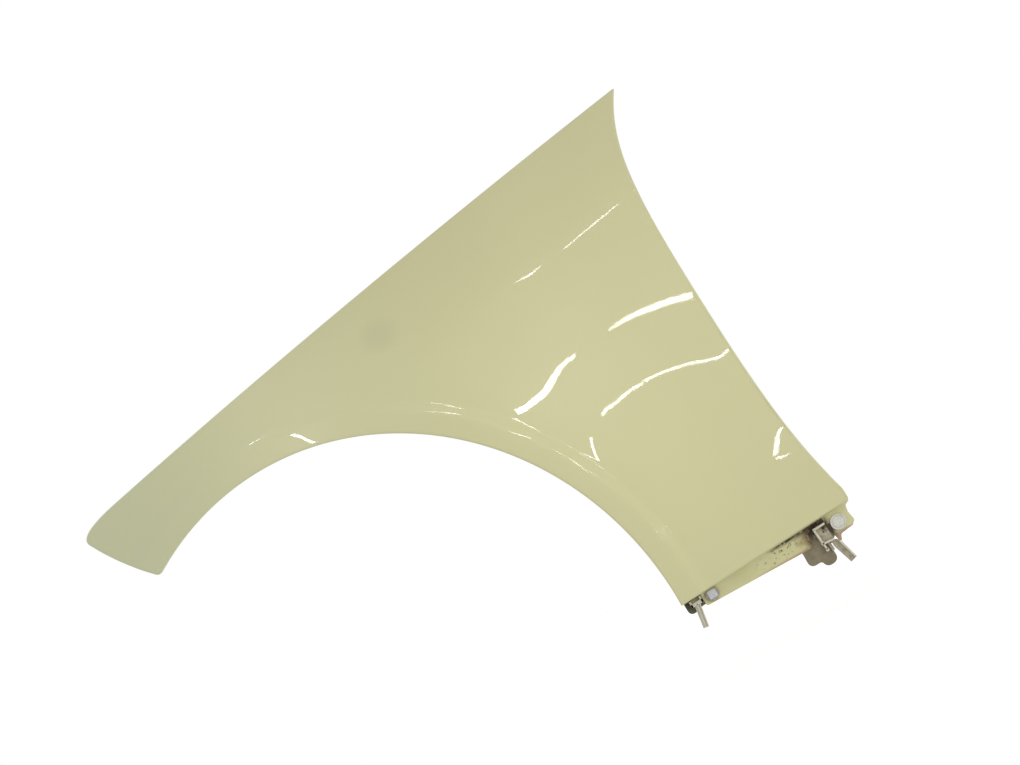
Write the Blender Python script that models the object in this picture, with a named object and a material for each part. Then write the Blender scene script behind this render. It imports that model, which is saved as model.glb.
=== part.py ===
# Left front fender of a car, as a bare pressed panel with its leftover sill clips.
# +X points to the car's rear, +Y inboard and +Z up. The outer side faces -Y.
# The shape is written from the wheel-arch centre and moved to the hood flange pad at the end.

import math

import bmesh
import bpy
import numpy as np
from mathutils import Matrix, Vector

# Sheet
SHEET = 0.001
BEND = 0.0025
GAP = 0.0003

# Wheel arch, an upright ellipse
ARCH_X = 0.0084
ARCH_Z = -0.0259
ARCH_RX = 0.3599
ARCH_RZ = 0.3923
ARCH_FRONT = math.radians(117.2)

# Side outline: front edge, hood edge, door edge, sill edge
NOSE_X = -0.2226
NOSE_ROUND = 0.0192
NOSE_SWEEP = 0.064
NOSE_BOW = 0.0051
TOE_ROUND = 0.006
HOOD_ABOVE_ARCH = 0.0871
HOOD_SLOPE_SHARE = 0.14582
HOOD_SAG = 0.0252
DOOR_X = 0.58795
DOOR_Z = 0.2291
TIP_BEYOND_DOOR = 0.0513
TIP_ROUND = 0.0035
TIP_ANGLE = math.radians(52.5)
TIP_HANDLE = 0.079
WAIST_HANDLE_UP = 0.1694
WAIST_HANDLE_DOWN = 0.1293
HEEL_BEYOND_DOOR = 0.02385
HEEL_HANDLE = 0.0673
HEEL_ANGLE = math.radians(76.2)
HEEL_STRAIGHT = 0.0163
HEEL_ROUND = 0.004
SILL_Z = -0.0494
HOOD_HEIGHT = ARCH_Z + ARCH_RZ + HOOD_ABOVE_ARCH
TIP_X = DOOR_X + TIP_BEYOND_DOOR
HEEL_X = DOOR_X + HEEL_BEYOND_DOOR
FOOT_X = ARCH_X + ARCH_RX
HOOD_LENGTH = TIP_X - NOSE_X

# Depth of the outer face
PLAN_START = 0.62
NOSE_INBOARD = 0.098
NOSE_CURVE_SHARE = 3.2
TOP_INBOARD = 0.045
TOP_REACH = 0.175
LOW_INBOARD = 0.01
LOW_START = 0.15
LOW_REACH = 0.2
CROWN_Z = 0.2
CROWN_INBOARD = 0.007
CROWN_REACH = 0.25
CREASE_Z = 0.3943
CREASE_RISE = 0.014
CREASE_RISE_START = 0.4
CREASE_RISE_SPAN = 0.186
CREASE_HEIGHT = 0.0065
CREASE_ROUND = 0.006
CREASE_ABOVE = 0.085
CREASE_BELOW = 0.038
CREASE_FADE = 0.26
CREASE_FULL = 0.52
FLARE_HEIGHT = 0.0045
FLARE_FLAT = 0.026
FLARE_BLEND = 0.016
FLARE_GRID = 0.044
HAUNCH_HEIGHT = 0.011
HAUNCH_REACH = 0.1

# Flanges behind the outline
WALL_MIN = 0.001
ARCH_LIP = 0.015
FRONT_LIP = 0.016
DOOR_LIP = 0.012
DOOR_TAB = 0.028
DOOR_TAB_HALF = 0.018
DOOR_TAB_SHARES = (0.266, 0.765)
TAB_ROOT = 0.008
TAB_ROUND = 0.007
CUT = 0.0005
HOOD_BACK_TURN = math.radians(168)
HOOD_WALL = 0.016
HOOD_SHELF = 0.03
HOOD_SHELF_BETWEEN = 0.009
HOOD_END = 0.045
HOOD_PAD_SHARES = (0.1, 0.28, 0.48, 0.68, 0.86)
HOOD_SLOT_SHARES = (0, 1, 0, 0, 0)
HOOD_PAD_HALF = 0.018
MOUNT_ASIDE = 0.01
SILL_STEP = 0.0085
SILL_DEEP = 0.04

# Holes
HOOD_HOLE_R = 0.004
HOOD_SLOT = 0.006
HOOD_HOLE_BACK = 0.012
DOOR_HOLE_R = 0.004
DOOR_HOLE_BACK = 0.01
LIP_HOLE_R = 0.003
LIP_HOLE_ANGLES = tuple(math.radians(degrees) for degrees in (104, 78, 52, 26, 4))
FRONT_HOLE_R = 0.0035
FRONT_HOLE_SHARES = (0.3, 0.72)
PLUG_HOLE_R = 0.005

# Sill flange: its front corner from the foot, its rear corner and the tab from the heel
FLANGE_FRONT_X = 0.0262
FLANGE_FRONT_Z = -0.0177
FLANGE_REAR_X = -0.0668
FLANGE_REAR_Z = -0.0269
FLANGE_TOP_Z = -0.0012
FLANGE_ROUND = 0.003
TAB_X = -0.0413
TAB_LENGTH = 0.0385
TAB_DEPTH = 0.0364
TAB_CORNER = 0.004
TAB_OUTLINE_SHARES = (
    (0, 0),
    (0.008, -0.42),
    (0.12, -1),
    (0.19, -1),
    (0.27, -0.81),
    (0.74, -0.765),
    (0.88, -0.64),
    (0.83, -0.285),
    (0.875, -0.065),
    (1, 0),
)
TAB_CORNER_SHARES = (0, 0.5, 0.25, 0.25, 1, 0.75, 1, 1.5, 0.75, 0)

# Rear bracket, behind the flange, from the heel
BRACKET_SHEET = 0.0015
REAR_BRACKET_X = -0.0853
REAR_BRACKET_Z = 0.0154
REAR_BRACKET_LENGTH = 0.047
REAR_BRACKET_HEIGHT = 0.072
REAR_BRACKET_LOBE = 0.0078
REAR_BRACKET_SHARES = (
    (0.02, 0),
    (1, 0),
    (1, -0.61),
    (0.76, -0.71),
    (0.76, -1),
    (0.405, -1),
    (0.34, -0.87),
    (0, -0.87),
    (0.02, -0.585),
)
REAR_BRACKET_CORNER_SHARES = (0.4, 0.4, 0.5, 0.4, 1, 1, 0.5, 0.95, 0.4)

# Front bracket, behind the flange, from the foot
FRONT_BRACKET_X = 0.0025
FRONT_BRACKET_Z = 0.0134
FRONT_BRACKET_LENGTH = 0.0277
FRONT_BRACKET_HEIGHT = 0.0308
FRONT_BRACKET_CORNER = 0.006
FRONT_BRACKET_SHARES = (
    (0, 0),
    (1, 0),
    (1, -0.91),
    (0.62, -0.925),
    (0.51, -1),
    (0, -1),
)
FRONT_BRACKET_CORNER_SHARES = (0.35, 0.35, 0.35, 0.5, 0.35, 1)

# Rear clip, its upper front corner from the heel, its places as shares of its width and height
CLIP_BASE_THICK = 0.0018
CLIP_WALL = 0.0026
CLIP_WALL_HEIGHT = 0.0065
REAR_CLIP_X = -0.0586
REAR_CLIP_Z = -0.0074
REAR_CLIP_WIDTH = 0.0168
REAR_CLIP_HEIGHT = 0.0242
REAR_CLIP_ROD_SHARES = (0.18, -1.27)
REAR_CLIP_ROD_TIP_R = 0.0022
REAR_CLIP_HOLE_SHARES = (0.6, -0.4)
REAR_CLIP_HOLE_R = 0.0011
REAR_CLIP_ARM_SHARES = ((0.79, -0.94), (1.05, -1.25), (1.465, -2.39))
REAR_CLIP_ARM_WIDTH = 0.0118
REAR_CLIP_ARM_TIP = 0.0098
REAR_CLIP_STUB_SHARES = ((0.52, -0.96), (0.57, -1.47))
REAR_CLIP_STUB_WIDTH = 0.0036

# Front clip, its upper front corner from the foot, its leg as shares of its width and height
FRONT_CLIP_X = 0.0089
FRONT_CLIP_Z = -0.0018
FRONT_CLIP_WIDTH = 0.0165
FRONT_CLIP_HEIGHT = 0.0088
FRONT_CLIP_BAR = 0.0047
FRONT_CLIP_LEG_SHARES = ((0.5, -0.77), (0.145, -4.26))
FRONT_CLIP_LEG_WIDTH = 0.0082
FRONT_CLIP_LEG_THICK = 0.0048
FRONT_CLIP_RIB = 0.0018

# Plugs on the sill flange, the rear one from the heel, the front one from the foot
REAR_PLUG_X = -0.0262
REAR_PLUG_Z = -0.0161
REAR_PLUG_R = 0.0098
REAR_PLUG_RING = 0.0016
REAR_PLUG_DISC_R = 0.0072
REAR_PLUG_PROUD = 0.0026
FRONT_PLUG_X = 0.0393
FRONT_PLUG_Z = -0.0081
FRONT_PLUG_R = 0.0093
FRONT_PLUG_CORE_R = 0.0066
FRONT_PLUG_PROUD = 0.0034
FRONT_PLUG_TOP = -0.0029
PLUG_STEM = 0.004
PLUG_STEM_R = 0.0042
DISC_SHARE = 0.7
GROOVE_SHARE = 0.4

# Fineness of the mesh
HOOD_COLUMNS = 34
DOOR_COLUMNS = 22
CLUSTER_SHARE = 0.7
FLARE_ROW_SHARES = (0, 0.25, 0.48, 0.64, 0.8, 1)
FLARE_EASE_SHARE = 0.2
OUTER_ROWS = 12
LAST_ROW_SHARE = 0.01
BEND_STEPS = 3
ROUND_STEPS = 20
ARC_ANGLE = math.pi / 9
SHARP_ANGLE = math.radians(35)
CUTTER_STEP = 0.03
SQUARE_SHARES = ((-1, -1), (1, -1), (1, 1), (-1, 1))
ALMOST_SHARE = 0.98
WELD = 1e-7
EDGE_WELD = 1e-5

# Colours in linear light
PAINT = (0.62, 0.59, 0.35)
BRACKET_BROWN = (0.23, 0.20, 0.13)
BRACKET_DARK = (0.10, 0.11, 0.06)
CLIP_IVORY = (0.52, 0.47, 0.34)
PLUG_WHITE = (0.72, 0.72, 0.66)
PLUG_GREY = (0.58, 0.57, 0.56)


def smoothstep(t):
    t = np.clip(t, 0, 1)
    return t * t * (3 - 2 * t)


def hood_z(x):
    """Height of the hood edge: a rising line, less a parabola's sag."""
    return HOOD_HEIGHT + HOOD_SLOPE_SHARE * x - HOOD_SAG * (x / HOOD_LENGTH) ** 2


def from_heel(x, z):
    """A plan point that is given from the heel, the lower end of the door edge."""
    return np.array([HEEL_X + x, SILL_Z + z])


def from_foot(x, z):
    """A plan point that is given from the foot, the rear end of the wheel arch."""
    return np.array([FOOT_X + x, SILL_Z + z])


def shared(corner, length, height, shares):
    """Plan points at these shares of a length and a height from a corner."""
    return corner + np.array(shares) * (length, height)


def arch_point(angle):
    return np.stack([ARCH_X + ARCH_RX * np.cos(angle), ARCH_Z + ARCH_RZ * np.sin(angle)], -1)


def arch_distance(x, z):
    """Distance outside the wheel-arch ellipse, measured along the ray from its centre."""
    rho = np.hypot((x - ARCH_X) / ARCH_RX, (z - ARCH_Z) / ARCH_RZ)
    return (1 - 1 / rho) * np.hypot(x - ARCH_X, z - ARCH_Z)


def skin_depth(x, z):
    """Inboard place y of the outer face: the plan curve towards the nose, the crown, the turn to
    the hood, the tuck at the sill, less the crease, the arch flare and the haunch round it."""
    nose = np.clip((PLAN_START - x) / (PLAN_START - NOSE_X), 0, None)
    top = np.clip(1 - (hood_z(x) - z) / TOP_REACH, 0, None)
    low = np.clip((LOW_START - z) / LOW_REACH, 0, None)
    rise = np.clip((x - CREASE_RISE_START) / CREASE_RISE_SPAN, 0, None)
    above = z - CREASE_Z - CREASE_RISE * rise**2
    soft = np.hypot(above, CREASE_ROUND) - CREASE_ROUND
    reach = np.where(above > 0, CREASE_ABOVE, CREASE_BELOW)
    fade = smoothstep((x - CREASE_FADE) / (CREASE_FULL - CREASE_FADE))
    crease = CREASE_HEIGHT * fade * np.exp(-soft / reach)
    out = arch_distance(x, z)
    flare = FLARE_HEIGHT * (1 - smoothstep((out - FLARE_FLAT) / FLARE_BLEND))
    haunch = HAUNCH_HEIGHT * np.exp(-((out / HAUNCH_REACH) ** 2))
    crown = CROWN_INBOARD * ((z - CROWN_Z) / CROWN_REACH) ** 2
    turned = NOSE_INBOARD * nose**NOSE_CURVE_SHARE + TOP_INBOARD * top**2 + LOW_INBOARD * low**2
    return turned + crown - crease - flare - haunch


def bezier(points, count):
    """A Bezier curve of any degree through its control points' first and last."""
    t = np.linspace(0, 1, count)[:, None]
    order = len(points) - 1
    return sum(
        math.comb(order, k) * (1 - t) ** (order - k) * t**k * np.array(p, float)
        for k, p in enumerate(points)
    )


def along(curve, at):
    """Points of a polyline at these shares of its length."""
    steps = np.hypot(*np.diff(curve, axis=0).T)
    length = np.concatenate([[0], np.cumsum(steps)])
    at = np.asarray(at) * length[-1]
    return np.stack([np.interp(at, length, curve[:, k]) for k in (0, 1)], -1)


def trimmed(curve, start, end):
    """The polyline with this much taken off its two ends."""
    length = np.hypot(*np.diff(curve, axis=0).T).sum()
    shares = np.linspace(start / length, 1 - end / length, len(curve))
    return along(curve, shares)


def blended(first, second):
    """The corner between two curves, as the halves of one quadratic curve."""
    meet = line_meet(first[-2], first[-1], second[0], second[1])
    corner = bezier([first[-1], meet, second[0]], 2 * ROUND_STEPS + 1)
    half = ROUND_STEPS + 1
    return np.vstack([first, corner[1:half]]), np.vstack([corner[half - 1 : -1], second])


def line_meet(a, b, c, d):
    """Where the lines a-b and c-d meet."""
    u, v = b - a, d - c
    t = ((c[0] - a[0]) * v[1] - (c[1] - a[1]) * v[0]) / (u[0] * v[1] - u[1] * v[0])
    return a + t * u


def outline():
    """The side outline as five curves: arch, front edge upwards, hood edge, door edge, sill edge."""
    heel_angle = math.asin((SILL_Z - ARCH_Z) / ARCH_RZ)
    arch = arch_point(np.linspace(ARCH_FRONT, heel_angle, 400))
    toe = arch[0]
    nose = np.array([NOSE_X, hood_z(NOSE_X)])
    edge = nose - toe
    side = np.array([-edge[1], edge[0]]) / np.hypot(*edge)
    front = bezier([toe, (toe + nose) / 2 + 2 * NOSE_BOW * side, nose], 200)
    x = np.linspace(NOSE_X, TIP_X, 400)
    hood = np.stack([x, hood_z(x)], -1)
    tip = hood[-1]
    down = np.array([math.cos(TIP_ANGLE), math.sin(TIP_ANGLE)])
    end_z = SILL_Z + HEEL_STRAIGHT
    back = np.array([math.cos(HEEL_ANGLE), -math.sin(HEEL_ANGLE)])
    waist = np.array([DOOR_X, DOOR_Z])
    upper = bezier([tip, tip - TIP_HANDLE * down, waist + [0, WAIST_HANDLE_UP], waist], 300)
    end = np.array([HEEL_X, end_z])
    lower = bezier([waist, waist - [0, WAIST_HANDLE_DOWN], end - HEEL_HANDLE * back, end], 200)
    door = np.vstack([upper, lower[1:], [HEEL_X, SILL_Z]])
    sill = np.stack([np.linspace(arch[-1][0], HEEL_X, 100), np.full(100, SILL_Z)], -1)
    front, hood = blended(trimmed(front, 0, NOSE_ROUND), trimmed(hood, NOSE_SWEEP, TIP_ROUND))
    arch, front = trimmed(arch, TOE_ROUND, 0), trimmed(front, TOE_ROUND, 0)
    backward, front = blended(arch[::-1], front)
    hood, door = blended(hood, trimmed(door, TIP_ROUND, HEEL_ROUND))
    door, sill = blended(door, trimmed(sill, 0, HEEL_ROUND)[::-1])
    return backward[::-1], front, hood, door, sill[::-1]


def crowded(count):
    """Shares from 0 to 1 that lie closer together at both ends."""
    t = np.linspace(0, 1, count + 1)
    return t - CLUSTER_SHARE * np.sin(2 * np.pi * t) / (2 * np.pi)


def row_shares(curve):
    """Shares of a side edge's length for the rows: the flare rows at their distance, then evenly."""
    length = np.hypot(*np.diff(curve, axis=0).T).sum()
    flare = FLARE_GRID * np.array(FLARE_ROW_SHARES) / length
    return np.concatenate([flare, flare[-1] + (1 - flare[-1]) * outer_shares()])


def outer_shares():
    """Shares of the way from the flare rows to the far edge, with one row close to that edge."""
    even = np.linspace(0, 1 - LAST_ROW_SHARE, OUTER_ROWS)[1:]
    return np.concatenate([even, [1]])


def mitres(loop):
    """Outward mitre vector at each point of a closed loop that runs clockwise in x and z."""
    ahead = np.roll(loop, -1, axis=0) - loop
    ahead /= np.hypot(*ahead.T)[:, None]
    behind = np.roll(ahead, 1, axis=0)
    normals = np.stack([-ahead[:, 1], ahead[:, 0]], -1), np.stack([-behind[:, 1], behind[:, 0]], -1)
    both = normals[0] + normals[1]
    return both / (1 + (normals[0] * normals[1]).sum(axis=1))[:, None]


def skin_grid(arch, top, left, right):
    """Rows of plan points from the arch edge out: the flare rows keep their distance from the arch,
    the others fill the rest as a Coons patch between the four edges."""
    columns = len(arch)
    share = np.linspace(0, 1, columns)[:, None]
    tangent = np.gradient(arch, axis=0)
    normal = np.stack([-tangent[:, 1], tangent[:, 0]], -1) / np.hypot(*tangent.T)[:, None]
    rows = []
    for k, step in enumerate(FLARE_ROW_SHARES):
        row = arch + FLARE_GRID * step * normal
        row = row + (left[k] - row[0]) * np.clip(1 - share / FLARE_EASE_SHARE, 0, 1) ** 2
        row = row + (right[k] - row[-1]) * np.clip(1 - (1 - share) / FLARE_EASE_SHARE, 0, 1) ** 2
        rows.append(row)
    first = len(FLARE_ROW_SHARES) - 1
    inner = rows[-1]
    for k, t in enumerate(outer_shares(), start=1):
        corners = (1 - share) * ((1 - t) * left[first] + t * left[-1])
        corners = corners + share * ((1 - t) * right[first] + t * right[-1])
        sides = (1 - share) * left[first + k] + share * right[first + k]
        rows.append((1 - t) * inner + t * top + sides - corners)
    return np.array(rows)


def raised(plan):
    """Plan points with the outer face's depth: x, y, z."""
    x, z = plan[..., 0], plan[..., 1]
    return np.stack([x, skin_depth(x, z), z], -1)


def rolled(mitre, inner):
    """The rolled edge: from the skin's border a quarter bend to the outline, turning inboard."""
    angles = np.linspace(0, math.pi / 2, BEND_STEPS + 1)
    rows = []
    for angle in angles:
        plan = inner + BEND * math.sin(angle) * mitre
        row = raised(plan)
        row[:, 1] += BEND * (1 - math.cos(angle))
        rows.append(row)
    return np.array(rows)


def swept(start, outward, path):
    """A strip from the edge points: each path step goes this far outward in plan and inboard."""
    rows = []
    for out, inboard in path:
        row = start.copy()
        row[:, [0, 2]] += np.asarray(out).reshape(-1, 1) * outward
        row[:, 1] += inboard
        rows.append(row)
    return np.array(rows)


def hood_path():
    """Section of the hood flange after the rolled edge: back over, down the wall, then inboard."""
    path = [(0, 0)]
    turn = np.linspace(math.pi / 2, HOOD_BACK_TURN, BEND_STEPS + 1)[1:]
    for angle in turn:
        path.append((BEND * (math.sin(angle) - 1), -BEND * math.cos(angle)))
    out, deep = path[-1]
    lean = HOOD_BACK_TURN - math.pi / 2
    heading = np.array([-math.sin(lean), math.cos(lean)])
    out, deep = out + HOOD_WALL * heading[0], deep + HOOD_WALL * heading[1]
    path.append((out, deep))
    for angle in np.linspace(lean, 0, BEND_STEPS + 1)[1:]:
        step_out = -BEND * (math.cos(angle) - math.cos(lean))
        step_in = -BEND * (math.sin(angle) - math.sin(lean))
        path.append((out - abs(step_out), deep + abs(step_in)))
    out, deep = path[-1]
    path.append((out, deep + HOOD_SHELF))
    return path


def faces_of(rows, columns, start, close=False):
    """Quads of a grid of points; close joins the last column to the first."""
    index = np.arange(rows * columns).reshape(rows, columns) + start
    if close:
        index = np.hstack([index, index[:, :1]])
    quads = np.stack([index[:-1, :-1], index[:-1, 1:], index[1:, 1:], index[1:, :-1]], -1)
    return quads.reshape(-1, 4).tolist()


def mesh_object(name, points, faces):
    mesh = bpy.data.meshes.new(name)
    mesh.from_pydata(np.asarray(points, float).tolist(), [], faces)
    obj = bpy.data.objects.new(name, mesh)
    bpy.context.scene.collection.objects.link(obj)
    return obj


def cleaned(obj, merge=WELD):
    """Welds the shared borders and makes the faces agree."""
    work = bmesh.new()
    work.from_mesh(obj.data)
    bmesh.ops.remove_doubles(work, verts=work.verts, dist=merge)
    bmesh.ops.recalc_face_normals(work, faces=work.faces)
    work.to_mesh(obj.data)
    work.free()
    return obj


def boolean(obj, other, operation="DIFFERENCE"):
    modifier = obj.modifiers.new(other.name, "BOOLEAN")
    modifier.operation = operation
    modifier.solver = "EXACT"
    modifier.object = other
    other.hide_render = True
    other.display_type = "WIRE"


def corner_rounded(points, radii):
    """The polygon with each corner replaced by an arc of its radius."""
    points = np.array(points, float)
    out = []
    for k, radius in enumerate(radii):
        before, here, after = points[k - 1], points[k], points[(k + 1) % len(points)]
        if not radius:
            out.append(here)
            continue
        u, v = before - here, after - here
        u, v = u / np.hypot(*u), v / np.hypot(*v)
        half = math.acos(np.clip(u @ v, -1, 1)) / 2
        centre = here + (u + v) / np.hypot(*(u + v)) * radius / math.sin(half)
        ends = here + u * radius / math.tan(half), here + v * radius / math.tan(half)
        a, b = (math.atan2(*(end - centre)[::-1]) for end in ends)
        b += 2 * math.pi * round((a - b) / (2 * math.pi))
        steps = max(2, math.ceil(abs(b - a) / ARC_ANGLE))
        for t in np.linspace(a, b, steps + 1):
            out.append(centre + radius * np.array([math.cos(t), math.sin(t)]))
    return np.array(out)


def side_view(u, v, w):
    """A polygon in x and z, extruded along y."""
    return u, w, v


def plan_view(u, v, w):
    """A polygon in x and y, extruded along z."""
    return u, v, w


def end_view(u, v, w):
    """A polygon in z and y, extruded along x."""
    return w, v, u


def prism(name, polygon, near, far, view=side_view):
    """A closed slab of this polygon between two levels."""
    count = len(polygon)
    points = [view(u, v, w) for w in (near, far) for u, v in polygon]
    faces = [list(range(count)), list(range(count, 2 * count))[::-1]]
    faces += [[k, (k + 1) % count, count + (k + 1) % count, count + k] for k in range(count)]
    return cleaned(mesh_object(name, points, faces))


def strip(points, widths):
    """The polygon of a strip along these points, this wide at each of them."""
    points, widths = np.array(points, float), np.array(widths, float)
    way = np.diff(points, axis=0)
    way /= np.hypot(*way.T)[:, None]
    mean = np.vstack([way[:1], way[:-1] + way[1:], way[-1:]])
    mean /= np.hypot(*mean.T)[:, None]
    side = np.stack([-mean[:, 1], mean[:, 0]], -1) * widths[:, None] / 2
    return np.vstack([points + side, (points - side)[::-1]])


def united(name, pieces):
    """Overlapping closed pieces made one body."""
    first, *others = pieces
    first.name = name
    for k, other in enumerate(others):
        other.name = f"{name}_piece_{k}"
        boolean(first, other, "UNION")
    return first


def turned(name, profile, centre, depth):
    """A body of revolution about an axis along y: profile of radius and depth, from axis to axis."""
    angle = np.arange(ROUND_STEPS) * 2 * math.pi / ROUND_STEPS
    inner = np.array([p for p in profile if p[0] > 0])
    radius, level = inner[:, :1], inner[:, 1:]
    points = [radius * np.cos(angle), level + 0 * angle, radius * np.sin(angle)]
    poles = [(0, profile[0][1], 0), (0, profile[-1][1], 0)]
    points = np.vstack([np.stack(points, -1).reshape(-1, 3), poles])
    points += np.array([centre[0], depth, centre[1]])
    faces = faces_of(len(inner), ROUND_STEPS, 0, close=True)
    for row, pole in ((0, -2), (len(inner) - 1, -1)):
        at = [row * ROUND_STEPS + k for k in range(ROUND_STEPS)]
        faces += [[at[k], at[(k + 1) % ROUND_STEPS], len(points) + pole] for k in range(ROUND_STEPS)]
    return cleaned(mesh_object(name, points, faces))


def rod(name, centre, axis, radius, length):
    """A straight round rod about its centre, as a cutter."""
    axis = np.array(axis, float) / np.linalg.norm(axis)
    u = np.cross(axis, np.eye(3)[np.argmin(abs(axis))])
    u /= np.linalg.norm(u)
    v = np.cross(axis, u)
    angle = np.arange(ROUND_STEPS) * 2 * math.pi / ROUND_STEPS
    circle = radius * (np.cos(angle)[:, None] * u + np.sin(angle)[:, None] * v)
    points = np.vstack([circle - axis * length / 2, circle + axis * length / 2]) + centre
    faces = faces_of(2, ROUND_STEPS, 0, close=True)
    faces += [list(range(ROUND_STEPS)), list(range(ROUND_STEPS, 2 * ROUND_STEPS))[::-1]]
    return cleaned(mesh_object(name, points, faces))


def joined(name, pieces):
    """Several closed pieces that don't touch, as one object."""
    points, faces = [], []
    for piece in pieces:
        start = len(points)
        points += [tuple(v.co) for v in piece.data.vertices]
        faces += [[start + k for k in p.vertices] for p in piece.data.polygons]
        bpy.data.objects.remove(piece)
    return mesh_object(name, points, faces)


def coloured(obj, colour, roughness, metallic=0.0):
    material = bpy.data.materials.new(obj.name)
    material.use_nodes = True
    shader = material.node_tree.nodes["Principled BSDF"]
    shader.inputs["Base Color"].default_value = (*colour, 1)
    shader.inputs["Roughness"].default_value = roughness
    shader.inputs["Metallic"].default_value = metallic
    obj.data.materials.append(material)
    obj.data.shade_smooth()
    obj.data.set_sharp_from_angle(angle=SHARP_ANGLE)


def fender():
    """The pressed panel as one sheet: the skin, the rolled edge round it and the flanges.
    Returns it with its flange depth and the rows of points that its cutters follow."""
    arch, front, hood, door, sill = outline()
    arch = along(arch, np.linspace(0, 1, HOOD_COLUMNS + DOOR_COLUMNS + 1))
    top = np.vstack([along(hood, crowded(HOOD_COLUMNS)), along(door, crowded(DOOR_COLUMNS))[1:]])
    left, right = along(front, row_shares(front)), along(sill, row_shares(sill))
    loop = np.vstack([left[:-1], top[:-1], right[:0:-1], arch[:0:-1]])
    mitre = mitres(loop)
    inner = loop - BEND * mitre
    starts = np.cumsum([0, len(left) - 1, len(top) - 1, len(right) - 1, len(arch) - 1])
    closed = np.vstack([inner, inner[:1]])
    borders = [closed[starts[k] : starts[k + 1] + 1] for k in range(4)]
    grid = raised(skin_grid(borders[3][::-1], borders[1], borders[0], borders[2][::-1]))
    ring = rolled(mitre, inner)
    edge = ring[-1]

    place = np.arange(len(loop))
    side = np.searchsorted(starts, place, side="right") - 1
    corner = np.isin(place, starts) | (place == starts[1] + HOOD_COLUMNS)
    on_hood = (side == 1) & (place < starts[1] + HOOD_COLUMNS) & ~corner
    on_hood &= (edge[:, 0] > NOSE_X + HOOD_END) & (edge[:, 0] < TIP_X - HOOD_END)
    on_door = (side == 1) & (place > starts[1] + HOOD_COLUMNS)
    on_sill = side == 2
    flange_y = edge[on_sill, 1].max() + SILL_STEP
    wall_depth = np.full(len(loop), WALL_MIN)
    wall_depth[(side == 0) & ~corner] = FRONT_LIP
    wall_depth[(side == 3) & ~corner] = ARCH_LIP
    wall_depth[on_door] = DOOR_TAB
    wall_depth[on_sill & ~corner] = (flange_y - BEND - edge[:, 1])[on_sill & ~corner]
    deep = edge.copy()
    deep[:, 1] += wall_depth
    wall = np.array([edge, deep])

    points, faces = [], []
    turn = np.linspace(0, math.pi / 2, BEND_STEPS + 1)
    sill_path = [(BEND * (1 - math.cos(a)), BEND * math.sin(a)) for a in turn]
    sill_path.append((SILL_DEEP, BEND))
    down = np.tile([0.0, -1.0], (len(loop), 1))
    sill_run = place[on_sill & ~corner]
    hood_run = place[on_hood]
    hood_rows = swept(edge[hood_run], mitre[hood_run], hood_path())
    sill_rows = swept(wall[1][sill_run], down[sill_run], sill_path)
    for rows, close in ((grid, False), (ring, True), (hood_rows, False), (sill_rows, False)):
        faces += faces_of(rows.shape[0], rows.shape[1], len(points), close)
        points += rows.reshape(-1, 3).tolist()
    for face in faces_of(2, len(loop), 0, close=True):
        if not (on_hood[face[0]] and on_hood[face[1]]):
            faces.append([len(points) + k for k in face])
    points += wall.reshape(-1, 3).tolist()

    obj = cleaned(mesh_object("fender_panel", points, faces), EDGE_WELD)
    if sum(p.normal.y * p.area for p in obj.data.polygons) > 0:
        obj.data.flip_normals()
    solidify = obj.modifiers.new("sheet", "SOLIDIFY")
    solidify.thickness = SHEET
    solidify.offset = -1
    rows = {
        "shelf": hood_rows[-2],
        "door": edge[on_door][::-1],
        "front": edge[side == 0],
    }
    return obj, flange_y, rows


def at(row, where, key=0):
    """The point of a row of points where its coordinate key has this value."""
    return np.array([np.interp(where, row[:, key], row[:, k]) for k in range(3)])


def tabbed_edge(name, row, key, tabs, half, base, deep, level, view):
    """A cutter that leaves a flange base wide, with rounded tabs deep wide at these places."""
    low, high = row[0, key] - half, row[-1, key] + half
    line, radii = [(low, 3 * deep), (low, base)], [0, 0]
    for tab in tabs:
        line += [(tab - half, base), (tab - half, deep), (tab + half, deep), (tab + half, base)]
        radii += [TAB_ROOT, TAB_ROUND, TAB_ROUND, TAB_ROOT]
    line += [(high, base), (high, 3 * deep)]
    radii += [0, 0]
    line = corner_rounded(line, radii)
    dense = []
    for a, b in zip(line, line[1:]):
        count = max(1, math.ceil(abs(b[0] - a[0]) / CUTTER_STEP))
        dense += [a + (b - a) * k / count for k in range(count)]
    dense.append(line[-1])
    polygon = [(u, at(row, u, key)[1] + v) for u, v in dense]
    return prism(name, polygon, *level, view)


def sill_cutter(flange_y):
    """Everything below the rolled sill edge that is not the flange or the rear tab."""
    top, deep = SILL_Z + FLANGE_TOP_Z, SILL_Z - 2 * SILL_DEEP
    front = from_foot(FLANGE_FRONT_X, FLANGE_FRONT_Z)
    rear = from_heel(FLANGE_REAR_X, FLANGE_REAR_Z)
    tab = shared(from_heel(TAB_X, FLANGE_TOP_Z), TAB_LENGTH, TAB_DEPTH, TAB_OUTLINE_SHARES)
    low, high = FOOT_X - TAB_ROOT, TIP_X
    edge = [(low, deep), (low, top), (front[0], top), front, rear, (rear[0], top), *tab]
    edge += [(high, top), (high, deep)]
    tab_rounds = TAB_CORNER * np.array(TAB_CORNER_SHARES)
    rounds = [0, 0, 0, FLANGE_ROUND, FLANGE_ROUND, FLANGE_ROUND, *tab_rounds, 0, 0]
    polygon = corner_rounded(edge, rounds)
    return prism("sill_cutter", polygon, flange_y - BEND, flange_y + SILL_STEP)


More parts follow.
